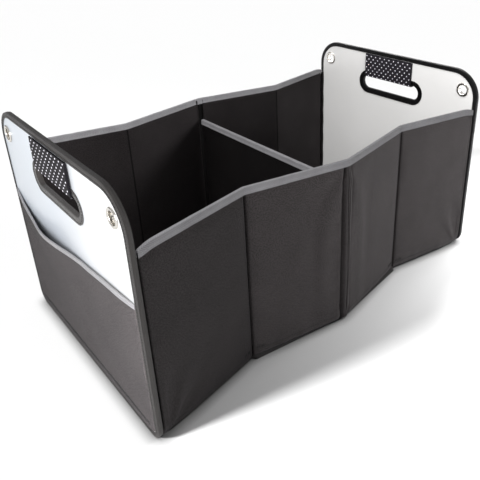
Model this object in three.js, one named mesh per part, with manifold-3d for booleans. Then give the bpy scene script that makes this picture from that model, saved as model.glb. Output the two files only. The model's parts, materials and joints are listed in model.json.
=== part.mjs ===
// Collapsible storage crate: two stiff end panels with hand slots, two side
// walls of four hinged quarter panels each, a cross divider, a fabric base and
// two lift-up floor pads.
// Units are millimetres. +Z is up, +X runs along the crate from the left end to
// the right end, and the near side is -Y. The origin is on the ground at the
// centre of the footprint.

import * as THREE from 'three';
import { mergeVertices } from 'three/addons/utils/BufferGeometryUtils.js';
import Module from 'manifold-3d';

// -------------------------------------------------------- shared dimensions
const LENGTH = 544;            // over the two end panels
const GAP = 0.3;               // running gap between neighbouring pieces
const BOARD_T = 2.2;           // stiffening board in the ends, walls and divider
const COVER_T = 0.5;           // fabric over the wall and divider boards
const TOP_TAPE_T = 1.4;        // wall and divider bindings, across the top edge
const OVERCUT = 1;             // how far a cutter runs past what it cuts
const CORNER_SEGMENTS = 4;
const EYELET_SEGMENTS = 10;

// ---------------------------------------------------------------- materials
const FINISHES = {
  fabric: { color: 0x3a3839, roughness: 0.95, metalness: 0 },
  fabricDark: { color: 0x232223, roughness: 0.95, metalness: 0 },
  lining: { color: 0x161616, roughness: 0.95, metalness: 0 },
  greyTape: { color: 0xa5a5ab, roughness: 0.8, metalness: 0 },
  blackTape: { color: 0x1d1c1d, roughness: 0.55, metalness: 0 },
  gloss: { color: 0xeef1f5, roughness: 0.25, metalness: 0 },
  matt: { color: 0xe2e0dd, roughness: 0.5, metalness: 0 },
  board: { color: 0x6e6a62, roughness: 0.8, metalness: 0 },
  rubber: { color: 0x17161a, roughness: 0.7, metalness: 0 },
  steel: { color: 0xd8d4cc, roughness: 0.15, metalness: 1 },
};

// ------------------------------------------------------------------ helpers
const wasm = await Module();
wasm.setup();

function toSolid(geometry) {
  geometry.deleteAttribute('normal');
  geometry.deleteAttribute('uv');
  const merged = mergeVertices(geometry, 1e-4);
  return new wasm.Manifold(new wasm.Mesh({
    numProp: 3,
    vertProperties: new Float32Array(merged.attributes.position.array),
    triVerts: new Uint32Array(merged.index.array),
  }));
}

function toGeometry(solid) {
  const { vertProperties, triVerts } = solid.getMesh();
  const geometry = new THREE.BufferGeometry();
  const positions = new Float32Array(vertProperties);
  geometry.setAttribute('position', new THREE.BufferAttribute(positions, 3));
  geometry.setIndex(new THREE.BufferAttribute(new Uint32Array(triVerts), 1));
  geometry.computeVertexNormals();
  return geometry;
}

// A box between two limits on each axis; a pair of limits may come in either order.
function box(x0, x1, y0, y1, z0, z1) {
  const geometry = new THREE.BoxGeometry(Math.abs(x1 - x0), Math.abs(y1 - y0), Math.abs(z1 - z0));
  geometry.translate((x0 + x1) / 2, (y0 + y1) / 2, (z0 + z1) / 2);
  return toSolid(geometry);
}

function extrude(shape, depth, curveSegments = CORNER_SEGMENTS) {
  return new THREE.ExtrudeGeometry(shape, { depth, bevelEnabled: false, curveSegments });
}

// A flat shape drawn in the XY plane, given thickness along Z.
function plateXY(shape, z0, z1) {
  const geometry = extrude(shape, z1 - z0);
  geometry.translate(0, 0, z0);
  return toSolid(geometry);
}

// A flat shape drawn in the YZ plane, given thickness along X; the two limits
// may come in either order.
const SHAPE_TO_YZ = new THREE.Matrix4().makeBasis(
  new THREE.Vector3(0, 1, 0), new THREE.Vector3(0, 0, 1), new THREE.Vector3(1, 0, 0));

function plateYZ(shape, x0, x1, curveSegments) {
  const geometry = extrude(shape, Math.abs(x1 - x0), curveSegments);
  geometry.applyMatrix4(SHAPE_TO_YZ);
  geometry.translate(Math.min(x0, x1), 0, 0);
  return toSolid(geometry);
}

function polygon(points) {
  return new THREE.Shape(points.map(([x, y]) => new THREE.Vector2(x, y)));
}

const flipSecond = (points) => points.map(([first, second]) => [first, -second]);

function roundedRectangle(y0, y1, z0, z1, topRadius, bottomRadius) {
  const shape = new THREE.Shape();
  const corner = (y, z, radius, quarter) => {
    shape.absarc(y, z, radius, quarter * Math.PI / 2, (quarter + 1) * Math.PI / 2, false);
  };
  shape.moveTo(y0 + bottomRadius, z0);
  shape.lineTo(y1 - bottomRadius, z0);
  corner(y1 - bottomRadius, z0 + bottomRadius, bottomRadius, -1);
  shape.lineTo(y1, z1 - topRadius);
  corner(y1 - topRadius, z1 - topRadius, topRadius, 0);
  shape.lineTo(y0 + topRadius, z1);
  corner(y0 + topRadius, z1 - topRadius, topRadius, 1);
  shape.lineTo(y0, z0 + bottomRadius);
  corner(y0 + bottomRadius, z0 + bottomRadius, bottomRadius, 2);
  return shape;
}

function circle(y, z, radius) {
  const shape = new THREE.Shape();
  shape.absarc(y, z, radius, 0, 2 * Math.PI, false);
  return shape;
}

const crate = new THREE.Group();

function addGroup() {
  const group = new THREE.Group();
  crate.add(group);
  return group;
}

// Adds a named piece to a group; the matrix, if given, places it in the crate.
function addPiece(group, name, finish, solid, matrix) {
  const material = new THREE.MeshStandardMaterial(FINISHES[finish]);
  const mesh = new THREE.Mesh(toGeometry(solid), material);
  mesh.name = name;
  if (matrix) matrix.decompose(mesh.position, mesh.quaternion, mesh.scale);
  group.add(mesh);
}

// --------------------------------------------------------------- end panels
const END_WIDTH = 320;
const END_HEIGHT = 280;
const END_TOP_R = 42;
const END_BOTTOM_R = 16;
const SHEET_T = 0.9;           // outer and inner sheet
const BIND_T = 0.7;            // thickness of the binding tape
const EDGE_BIND = 6.5;         // leg of the edge binding
const SLOT_BIND = 8.5;         // leg of the hand slot's binding

// Depths inward from the panel's outer face, at which each layer starts.
const OUTER_SHEET_DEPTH = BIND_T + GAP;
const BOARD_DEPTH = OUTER_SHEET_DEPTH + SHEET_T + GAP;
const INNER_SHEET_DEPTH = BOARD_DEPTH + BOARD_T + GAP;
const INNER_TAPE_DEPTH = INNER_SHEET_DEPTH + SHEET_T + GAP;
const END_T = INNER_TAPE_DEPTH + BIND_T;   // panel thickness over its edge binding

const SLOT_HALF = 56.5;        // hand slot, inside its binding
const SLOT_LOW = 214.5;
const SLOT_HIGH = 236.5;
const SLOT_R = 10.5;
const SLEEVE_HALF = 47.5;      // grip sleeve
const SLEEVE_TOP = 270.5;
const SLEEVE_T = 2.2;

const EYELET_Y = 135;
const EYELET_Z = 250.5;
const EYELET_HOLE_R = 6.75;
const EYELET_BARREL_R = 7.6;
const EYELET_FLANGE_R = 10.3;
const EYELET_FLANGE_T = 1.2;

const POCKET_INSET = EDGE_BIND + 0.6;      // from the end panel's edge
const POCKET_HALF = END_WIDTH / 2 - POCKET_INSET;
const POCKET_T = 1.0;
const POCKET_BIND = 6.5;
const POCKET_TAPE_T = 0.8;
const POCKET_MOUTH_STEPS = 24;
// pocket mouth: y, height above the ground
const POCKET_MOUTH = [
  [-152.9, 163.5], [-114, 161], [-54, 151], [0, 143.8],
  [40, 141], [75, 141.6], [114, 147], [152.9, 163.5],
];

const endOutline = (inset) => roundedRectangle(
  -END_WIDTH / 2 + inset, END_WIDTH / 2 - inset,
  inset, END_HEIGHT - inset,
  END_TOP_R - inset, END_BOTTOM_R - inset);

const slotOutline = (grow) => roundedRectangle(
  -SLOT_HALF - grow, SLOT_HALF + grow,
  SLOT_LOW - grow, SLOT_HIGH + grow,
  SLOT_R + grow, SLOT_R + grow);

// The functions below build with an end's own tools: plate and block take
// depths from the outer face, through cuts the whole panel, add names a piece.
function endLayers({ plate, through, add }) {
  let holes = through(slotOutline(BIND_T + GAP));
  for (const y of [-EYELET_Y, EYELET_Y]) {
    holes = holes.add(through(circle(y, EYELET_Z, EYELET_BARREL_R + GAP), EYELET_SEGMENTS));
  }
  const layer = (depth, thickness) => (
    plate(endOutline(BIND_T + GAP), depth, depth + thickness).subtract(holes));
  add('end_board', 'board', layer(BOARD_DEPTH, BOARD_T));
  add('outer_sheet', 'gloss', layer(OUTER_SHEET_DEPTH, SHEET_T));
  add('inner_sheet', 'matt', layer(INNER_SHEET_DEPTH, SHEET_T));
}

// Channels of tape around the panel's whole edge and around the hand slot.
function endBindings({ plate, through, add }) {
  const edgeRing = plate(endOutline(0), 0, END_T).subtract(through(endOutline(EDGE_BIND)));
  const edgeCore = plate(endOutline(BIND_T), BIND_T, INNER_TAPE_DEPTH);
  add('edge_binding', 'blackTape', edgeRing.subtract(edgeCore));

  const slotRing = plate(slotOutline(SLOT_BIND), 0, END_T).subtract(through(slotOutline(0)));
  const slotCore = plate(slotOutline(SLOT_BIND + OVERCUT), BIND_T, INNER_TAPE_DEPTH)
    .subtract(through(slotOutline(BIND_T)));
  add('slot_binding', 'blackTape', slotRing.subtract(slotCore));
}

// A U of rubber around the slot's upper edge, open at the top.
function gripSleeve({ block, add }) {
  const reach = GAP + SLEEVE_T;
  const inside = block(-GAP, END_T + GAP,
    -SLEEVE_HALF - OVERCUT, SLEEVE_HALF + OVERCUT, SLOT_HIGH - GAP, SLEEVE_TOP + OVERCUT);
  const sleeve = block(-reach, END_T + reach,
    -SLEEVE_HALF, SLEEVE_HALF, SLOT_HIGH - reach, SLEEVE_TOP);
  add('grip_sleeve', 'rubber', sleeve.subtract(inside));
}

// A barrel through the panel with a flange on each face.
function eyelet({ plate, through, add }, where, y) {
  const outerEnd = BIND_T - EYELET_FLANGE_T;
  const innerEnd = INNER_TAPE_DEPTH + EYELET_FLANGE_T;
  const disc = (radius, from, to) => (
    plate(circle(y, EYELET_Z, radius), from, to, EYELET_SEGMENTS));
  add(`eyelet_${where}`, 'steel', disc(EYELET_BARREL_R, outerEnd, innerEnd)
    .add(disc(EYELET_FLANGE_R, outerEnd, BIND_T))
    .add(disc(EYELET_FLANGE_R, INNER_TAPE_DEPTH, innerEnd))
    .subtract(through(circle(y, EYELET_Z, EYELET_HOLE_R), EYELET_SEGMENTS)));
}

// A flat fabric panel on the outer sheet, inside the edge binding, with tape
// along its curved upper edge.
function outerPocket({ plate, add }) {
  const stations = POCKET_MOUTH.map(([y, z]) => new THREE.Vector3(y, z, 0));
  const mouth = new THREE.CatmullRomCurve3(stations, false, 'centripetal')
    .getPoints(POCKET_MOUTH_STEPS)
    .map((point) => [point.x, point.y]);
  const backward = [...mouth].reverse();

  const radius = END_BOTTOM_R - POCKET_INSET;
  const cornerY = POCKET_HALF - radius;
  const cornerZ = POCKET_INSET + radius;
  const pocket = new THREE.Shape();
  pocket.moveTo(-cornerY, POCKET_INSET);
  pocket.lineTo(cornerY, POCKET_INSET);
  pocket.absarc(cornerY, cornerZ, radius, -Math.PI / 2, 0, false);
  for (const [y, z] of backward) pocket.lineTo(y, z);
  pocket.lineTo(-POCKET_HALF, cornerZ);
  pocket.absarc(-cornerY, cornerZ, radius, Math.PI, 1.5 * Math.PI, false);
  const pocketDepth = BIND_T - POCKET_T;
  add('pocket', 'fabric', plate(pocket, pocketDepth, BIND_T));

  const tape = polygon([...mouth, ...backward.map(([y, z]) => [y, z - POCKET_BIND])]);
  const tapeBack = pocketDepth - GAP;
  add('pocket_binding', 'greyTape', plate(tape, tapeBack - POCKET_TAPE_T, tapeBack));
}

function endPanel(side, sign) {
  const group = addGroup();
  const at = (depth) => sign * (LENGTH / 2 - depth);
  const plate = (shape, from, to, segments) => plateYZ(shape, at(from), at(to), segments);
  const tools = {
    plate,
    block: (from, to, ...limits) => box(at(from), at(to), ...limits),
    through: (shape, segments) => plate(shape, -OVERCUT, END_T + OVERCUT, segments),
    add: (name, finish, solid) => addPiece(group, `${side}_${name}`, finish, solid),
  };
  endLayers(tools);
  endBindings(tools);
  gripSleeve(tools);
  eyelet(tools, 'near', -EYELET_Y);
  eyelet(tools, 'far', EYELET_Y);
  outerPocket(tools);
}
endPanel('left', -1);
endPanel('right', 1);

// --------------------------------------------------------------- side walls
const WALL_HEIGHT = 230;
const WALL_FOOT = 3;           // the walls hang this far above the ground
const WALL_BIND = 9;
const WALL_TAPE_T = 0.6;       // top binding, on each face
const COVER_DEPTH = WALL_TAPE_T + GAP;     // from the wall's face to its cover
const WALL_BOARD_DEPTH = COVER_DEPTH + COVER_T + GAP;
const WALL_T = 2 * WALL_BOARD_DEPTH + BOARD_T;   // over the top binding
const WALL_BOARD_INSET = 7;    // board ends, from the hinge and fold lines
const WALL_CLEARANCE = 1.2;    // cloth ends, from the hinge and fold lines
const CORNER_LAP = 5;          // cloth run past the corner hinge line, towards the end
const COVER_END_T = 1;         // cover thickness at its two upright edges
const COVER_FOOT_T = 0.6;
const WALL_ANGLE = THREE.MathUtils.degToRad(11.5);   // quarter panel to crate length
const MID_HINGE_X = 3.2;       // the mid fold's hinge line beside the divider
const CORNER_HINGE_X = 258.6;  // the hinge line beside the end panel
const WALL_HINGE_Y = 152;
const FOLD_X = (MID_HINGE_X + CORNER_HINGE_X) / 2;

// A quarter panel lies between its hinge line, which runs up its inner face,
// and its fold line, which runs up its outer face.
const PANEL_RUN =
  (FOLD_X - MID_HINGE_X - WALL_T * Math.sin(WALL_ANGLE)) / Math.cos(WALL_ANGLE);

// each wall's quarter panels from left to right: hinge x, direction to the fold
const WALL_PANELS = [
  [-CORNER_HINGE_X, 1], [-MID_HINGE_X, -1], [MID_HINGE_X, 1], [CORNER_HINGE_X, -1],
];

// Built with x from inner to outer face, y along the panel and z up.
function wallPanel(name, hingeX, foldDirection, sideSign) {
  const sin = Math.sin(WALL_ANGLE);
  const cos = Math.cos(WALL_ANGLE);
  const along = new THREE.Vector3(foldDirection * cos, -sideSign * sin, 0);
  const outward = new THREE.Vector3(foldDirection * sin, sideSign * cos, 0);
  const origin = new THREE.Vector3(hingeX, sideSign * WALL_HINGE_Y, 0);
  // y starts from the hinge line or the fold line, whichever keeps the basis right-handed
  const fromHinge = foldDirection * sideSign < 0;
  if (!fromHinge) {
    origin.addScaledVector(along, PANEL_RUN);
    along.negate();
  }
  const matrix = new THREE.Matrix4().makeBasis(outward, along, new THREE.Vector3(0, 0, 1));
  matrix.setPosition(origin);

  const atCorner = Math.abs(hingeX) === CORNER_HINGE_X;
  const hingeMargin = atCorner ? -CORNER_LAP : WALL_CLEARANCE;
  const from = fromHinge ? hingeMargin : WALL_CLEARANCE;
  const to = PANEL_RUN - (fromHinge ? WALL_CLEARANCE : hingeMargin);
  const group = addGroup();
  const add = (part, finish, solid) => addPiece(group, `${name}_${part}`, finish, solid, matrix);

  add('board', 'board', box(
    WALL_BOARD_DEPTH, WALL_BOARD_DEPTH + BOARD_T,
    WALL_BOARD_INSET, PANEL_RUN - WALL_BOARD_INSET,
    WALL_FOOT + 1, WALL_HEIGHT - 3));

  const coverInside = box(
    COVER_DEPTH + COVER_T, WALL_T - COVER_DEPTH - COVER_T,
    from + COVER_END_T, to - COVER_END_T,
    WALL_FOOT + COVER_FOOT_T, WALL_HEIGHT);
  add('cover', 'fabric',
    box(COVER_DEPTH, WALL_T - COVER_DEPTH, from, to, WALL_FOOT, WALL_HEIGHT - 2)
      .subtract(coverInside));

  const bindingLow = WALL_HEIGHT - WALL_BIND;
  const bindingInside = box(
    WALL_TAPE_T, WALL_T - WALL_TAPE_T,
    from - OVERCUT, to + OVERCUT,
    bindingLow - OVERCUT, WALL_HEIGHT - TOP_TAPE_T);
  add('top_binding', 'greyTape',
    box(0, WALL_T, from, to, bindingLow, WALL_HEIGHT).subtract(bindingInside));
}

for (const [side, sideSign] of [['near', -1], ['far', 1]]) {
  WALL_PANELS.forEach(([hingeX, foldDirection], i) => {
    wallPanel(`${side}_wall_${i + 1}`, hingeX, foldDirection, sideSign);
  });
}

// ------------------------------------------------------------------ divider
const DIVIDER_HEIGHT = 197;
const DIVIDER_HALF = 148;      // half its length, along Y
const DIVIDER_BIND = 9;
const DIVIDER_TAPE_T = 0.6;    // binding, on each face
const DIVIDER_FOOT = 2.2;      // the cover's lower edge
const SEAM_HALF_T = 2.2;
const SEAM_END_Y = 157;
const SEAM_TOP = 212;

// A box centred on the crate's middle in X and Y.
const centredBox = (halfX, halfY, z0, z1) => box(-halfX, halfX, -halfY, halfY, z0, z1);

function divider(group) {
  const boardHalf = BOARD_T / 2;
  const coverHalf = boardHalf + GAP + COVER_T;
  const tapeInner = coverHalf + GAP;
  const bindingLow = DIVIDER_HEIGHT - DIVIDER_BIND;
  addPiece(group, 'divider_board', 'board',
    centredBox(boardHalf, DIVIDER_HALF - 2, 3, DIVIDER_HEIGHT - 4));
  addPiece(group, 'divider_cover', 'lining',
    centredBox(coverHalf, DIVIDER_HALF, DIVIDER_FOOT, DIVIDER_HEIGHT - 2)
      .subtract(centredBox(boardHalf + GAP, DIVIDER_HALF - COVER_END_T,
        DIVIDER_FOOT + COVER_T, DIVIDER_HEIGHT)));
  addPiece(group, 'divider_binding', 'greyTape',
    centredBox(tapeInner + DIVIDER_TAPE_T, DIVIDER_HALF, bindingLow, DIVIDER_HEIGHT)
      .subtract(centredBox(tapeInner, DIVIDER_HALF + OVERCUT,
        bindingLow - OVERCUT, DIVIDER_HEIGHT - TOP_TAPE_T)));
}

// The wall fabric is pinched and stitched to the divider's upright edges.
function dividerSeam(group, side, sign) {
  addPiece(group, `${side}_divider_seam`, 'fabricDark', box(
    -SEAM_HALF_T, SEAM_HALF_T,
    sign * (DIVIDER_HALF + 2 * GAP), sign * SEAM_END_Y,
    WALL_FOOT, SEAM_TOP));
}

// --------------------------------------------------------------------- base
const BASE_HALF_X = 265;
const BASE_HALF_Y = 155;
const BASE_FOLD_HALF_Y = 136;  // at the wall folds, where the sheet is drawn in
const BASE_END_HALF_Y = END_WIDTH / 2 - END_BOTTOM_R;  // end panel's straight lower edge
const BASE_T = 1.5;

function baseFabric(group) {
  const cornerCut = BASE_HALF_Y - BASE_END_HALF_Y;
  // far edge's right half, from the middle outward: x, y
  const rightHalf = [
    [MID_HINGE_X, BASE_HALF_Y],
    [FOLD_X, BASE_FOLD_HALF_Y],
    [BASE_HALF_X - cornerCut, BASE_HALF_Y],
    [BASE_HALF_X, BASE_END_HALF_Y],
  ];
  const leftHalf = rightHalf.map(([x, y]) => [-x, y]).reverse();
  const farEdge = [...leftHalf, ...rightHalf];
  const outline = polygon([...flipSecond(farEdge), ...farEdge.reverse()]);
  addPiece(group, 'base_fabric', 'fabricDark', plateXY(outline, 0, BASE_T));
}

// The base shares the divider's group.
const dividerGroup = addGroup();
divider(dividerGroup);
dividerSeam(dividerGroup, 'near', -1);
dividerSeam(dividerGroup, 'far', 1);
baseFabric(dividerGroup);

// --------------------------------------------------------------- floor pads
const PAD_HINGE_X = 260.8;     // the floor pad's hinge line
const PAD_HINGE_Z = 4.2;
const PAD_NEAR = 2;            // from its hinge line to the pad's hinged edge
const PAD_FAR = 236;           // and to its free edge
const PAD_HALF = 124;
const PAD_T = 3.6;
const PAD_LOW = PAD_HINGE_Z - PAD_T / 2;
// stiffening board in the pad: distance from the hinge line, half width
const KEEL = [[4, 118], [27, 118], [112, 26], [122, 19], [222, 19]];
const KEEL_T = 1.5;
const KEEL_LOW = PAD_LOW + 0.2;
const KEEL_CLEARANCE = 0.4;    // around the keel, in the pad's recess
const LOOP_END = 11;           // pull loop and its opening, past the pad's free edge
const LOOP_OPENING = [3.5, 8];
const LOOP_HALF = 12;
const LOOP_OPENING_HALF = 8;
const LOOP_HALF_T = 0.6;

function floorPad(side, sign) {
  const group = addGroup();
  const at = (distance) => sign * (PAD_HINGE_X - distance);

  const keelOutline = (grow) => {
    const edge = KEEL.map(([distance, half]) => [distance, half + grow]);
    edge[0][0] -= grow;
    edge[edge.length - 1][0] += grow;
    const [start, ...rest] = flipSecond(edge);
    const points = [start, ...edge, ...rest.reverse()];
    const shape = polygon(points.map(([distance, y]) => [at(distance), y]));
    shape.closePath();
    return shape;
  };
  const recess = plateXY(keelOutline(KEEL_CLEARANCE), PAD_LOW - OVERCUT, KEEL_LOW + KEEL_T + GAP);
  addPiece(group, `${side}_floor_pad`, 'lining',
    box(at(PAD_NEAR), at(PAD_FAR), -PAD_HALF, PAD_HALF, PAD_LOW, PAD_LOW + PAD_T)
      .subtract(recess));
  addPiece(group, `${side}_floor_keel`, 'board',
    plateXY(keelOutline(0), KEEL_LOW, KEEL_LOW + KEEL_T));

  // a flat loop at the middle of the free edge
  const loopBlock = (from, to, halfY, halfZ) => box(
    at(PAD_FAR + from), at(PAD_FAR + to), -halfY, halfY,
    PAD_HINGE_Z - halfZ, PAD_HINGE_Z + halfZ);
  addPiece(group, `${side}_pull_loop`, 'blackTape',
    loopBlock(GAP, LOOP_END, LOOP_HALF, LOOP_HALF_T)
      .subtract(loopBlock(...LOOP_OPENING, LOOP_OPENING_HALF, LOOP_HALF_T + OVERCUT)));
}
floorPad('left', -1);
floorPad('right', 1);

export default crate;
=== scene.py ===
import bpy
import json
import math
import random
import numpy as np
from mathutils import Matrix, Vector

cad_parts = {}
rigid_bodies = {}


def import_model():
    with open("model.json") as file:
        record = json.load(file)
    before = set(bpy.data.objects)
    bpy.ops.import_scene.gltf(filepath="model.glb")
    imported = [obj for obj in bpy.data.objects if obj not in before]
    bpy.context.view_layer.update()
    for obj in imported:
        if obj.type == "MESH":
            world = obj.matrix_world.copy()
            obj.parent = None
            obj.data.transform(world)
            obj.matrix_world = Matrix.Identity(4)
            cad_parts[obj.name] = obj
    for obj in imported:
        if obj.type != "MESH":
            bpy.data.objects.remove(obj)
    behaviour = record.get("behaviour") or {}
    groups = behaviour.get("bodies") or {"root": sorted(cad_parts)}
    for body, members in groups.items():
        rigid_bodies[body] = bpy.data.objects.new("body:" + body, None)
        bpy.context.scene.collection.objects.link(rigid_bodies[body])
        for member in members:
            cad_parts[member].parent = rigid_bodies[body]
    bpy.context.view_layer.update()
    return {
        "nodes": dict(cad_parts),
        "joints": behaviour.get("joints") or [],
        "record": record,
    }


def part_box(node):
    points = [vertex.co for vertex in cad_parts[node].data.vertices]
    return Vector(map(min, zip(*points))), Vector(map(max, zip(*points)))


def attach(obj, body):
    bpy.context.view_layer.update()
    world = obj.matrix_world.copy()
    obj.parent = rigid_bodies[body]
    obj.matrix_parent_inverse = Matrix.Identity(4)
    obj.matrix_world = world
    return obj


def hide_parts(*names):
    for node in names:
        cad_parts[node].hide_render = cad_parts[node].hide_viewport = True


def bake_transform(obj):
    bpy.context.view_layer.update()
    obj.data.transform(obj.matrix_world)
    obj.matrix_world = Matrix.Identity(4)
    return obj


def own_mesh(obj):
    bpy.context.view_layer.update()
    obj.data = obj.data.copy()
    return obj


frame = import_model()
REC = frame["record"]
JOINT = {j["name"]: j for j in frame["joints"]}
MM = 0.001
rng = np.random.default_rng(7)

# ---------------------------------------------------------------- dimensions
M_X, M_Y = [abs(v) for v in JOINT["wall_fold"]["pos_m"][:2]]
F_X, F_Y = [abs(v) for v in JOINT["near_fold_34"]["pos_m"][:2]]
C_X = abs(JOINT["near_corner_right"]["pos_m"][0])
bind_lo, bind_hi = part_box("right_edge_binding")
END_OUT, END_IN = bind_hi[0], bind_lo[0]
END_HALF, END_H = bind_hi[1], bind_hi[2]
END_MID = (END_OUT + END_IN) / 2
R_TOP, R_BOT = 0.042, 0.016
cover_lo, cover_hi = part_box("near_wall_3_cover")
wb_lo, wb_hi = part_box("near_wall_3_top_binding")
WALL_TOP, WALL_BIND_LOW, WALL_FOOT = wb_hi[2], wb_lo[2], cover_lo[2]
WALL_T = 0.0056
chord = math.hypot(F_X - M_X, M_Y - F_Y)
RUN = math.sqrt(chord ** 2 - WALL_T ** 2)
ANG = math.atan2(M_Y - F_Y, F_X - M_X) + math.asin(WALL_T / chord)
slot_lo, slot_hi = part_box("right_slot_binding")
sl_lo, sl_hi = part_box("right_grip_sleeve")
SLOT_W = 0.0085
EDGE_W = 0.0065
pk_lo, pk_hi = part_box("right_pocket")
dv_lo, dv_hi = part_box("divider_cover")
db_lo, db_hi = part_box("divider_binding")
base_lo, base_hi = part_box("base_fabric")
ey = {w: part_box(f"right_eyelet_{w}") for w in ("near", "far")}
EY_Z = (ey["far"][0][2] + ey["far"][1][2]) / 2
EY_Y = (ey["far"][0][1] + ey["far"][1][1]) / 2
EY_R = (ey["far"][1][1] - ey["far"][0][1]) / 2


# ------------------------------------------------------------------- meshes
class Build:
    def __init__(self):
        self.v, self.uv, self.f, self.m, self.n = [], [], [], [], 0

    def grid(self, P, UV, mat=0, flip=False, close_u=False, close_v=False):
        nu, nv = P.shape[:2]
        idx = self.n + np.arange(nu * nv).reshape(nu, nv)
        self.v.append(P.reshape(-1, 3))
        self.uv.append(UV.reshape(-1, 2))
        self.n += nu * nv
        I = idx if not close_u else np.vstack([idx, idx[:1]])
        if close_v:
            I = np.hstack([I, I[:, :1]])
        a, b, c, d = I[:-1, :-1], I[1:, :-1], I[1:, 1:], I[:-1, 1:]
        q = np.stack([a, b, c, d], -1).reshape(-1, 4)
        if flip:
            q = q[:, ::-1]
        self.f.extend(q.tolist())
        self.m.extend([mat] * len(q))
        return idx

    def poly(self, idx, mat=0):
        self.f.append([int(i) for i in idx])
        self.m.append(mat)

    def add(self, V, UV, F, mat=0):
        off = self.n
        self.v.append(np.asarray(V, float))
        self.uv.append(np.asarray(UV, float))
        self.n += len(V)
        for f in F:
            self.f.append([i + off for i in f])
            self.m.append(mat)

    def make(self, name, mats, smooth=True, sharp=None):
        V = np.vstack(self.v)
        UV = np.vstack(self.uv)
        me = bpy.data.meshes.new(name)
        me.from_pydata(V.tolist(), [], self.f)
        lay = me.uv_layers.new(name="UVMap")
        li = np.zeros(len(me.loops), np.int32)
        me.loops.foreach_get("vertex_index", li)
        lay.data.foreach_set("uv", UV[li].astype(np.float32).ravel())
        me.polygons.foreach_set("material_index", np.array(self.m, np.int32))
        me.polygons.foreach_set("use_smooth", np.full(len(me.polygons), smooth))
        me.update()
        if sharp:
            me.set_sharp_from_angle(angle=math.radians(sharp))
        ob = bpy.data.objects.new(name, me)
        bpy.context.scene.collection.objects.link(ob)
        for m in mats:
            me.materials.append(m)
        return ob


def thicken(ob, t, offset=-1.0):
    mod = ob.modifiers.new("thickness", "SOLIDIFY")
    mod.thickness = t
    mod.offset = offset
    mod.use_even_offset = True
    return ob


def smooth01(x):
    x = np.clip(x, 0, 1)
    return x * x * (3 - 2 * x)


def noise2(x, y, seed, octaves=3, gain=0.5):
    """Smooth value noise on arrays, from a fixed lattice."""
    out = np.zeros(np.broadcast(x, y).shape)
    amp, tot = 1.0, 0.0
    r = np.random.default_rng(seed)
    for o in range(octaves):
        L = r.uniform(-1, 1, (64, 64))
        xx, yy = x * 2 ** o + 17.3 * o, y * 2 ** o + 9.1 * o
        i, j = np.floor(xx).astype(int), np.floor(yy).astype(int)
        fx, fy = smooth01(xx - i), smooth01(yy - j)
        g = lambda a, b: L[a % 64, b % 64]
        out = out + amp * ((g(i, j) * (1 - fx) + g(i + 1, j) * fx) * (1 - fy) + (g(i, j + 1) * (1 - fx) + g(i + 1, j + 1) * fx) * fy)
        tot += amp
        amp *= gain
    return out / tot


def outline(y0, y1, z0, z1, rt, rb, step):
    """Closed rounded rectangle in YZ, counter-clockwise seen from +X: points, inward normals, arc lengths."""
    segs = []

    def line(a, b, nrm):
        L = math.dist(a, b)
        n = max(1, round(L / step))
        for k in range(n):
            t = k / n
            segs.append((a[0] + (b[0] - a[0]) * t, a[1] + (b[1] - a[1]) * t, nrm[0], nrm[1]))

    def arc(c, r, a0, a1):
        n = max(6, round(abs(a1 - a0) * r / min(step, r * 0.16)))
        for k in range(n):
            a = a0 + (a1 - a0) * k / n
            segs.append((c[0] + r * math.cos(a), c[1] + r * math.sin(a), -math.cos(a), -math.sin(a)))
    h = math.pi / 2
    ymid = (y0 + y1) / 2
    line((ymid, z0), (y1 - rb, z0), (0, 1))
    arc((y1 - rb, z0 + rb), rb, -h, 0)
    line((y1, z0 + rb), (y1, z1 - rt), (-1, 0))
    arc((y1 - rt, z1 - rt), rt, 0, h)
    line((y1 - rt, z1), (y0 + rt, z1), (0, -1))
    arc((y0 + rt, z1 - rt), rt, h, 2 * h)
    line((y0, z1 - rt), (y0, z0 + rb), (1, 0))
    arc((y0 + rb, z0 + rb), rb, 2 * h, 3 * h)
    line((y0 + rb, z0), (ymid, z0), (0, 1))
    a = np.array(segs)
    d = np.r_[0, np.cumsum(np.linalg.norm(np.diff(a[:, :2], axis=0), axis=1))]
    return a[:, :2], a[:, 2:], d


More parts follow.
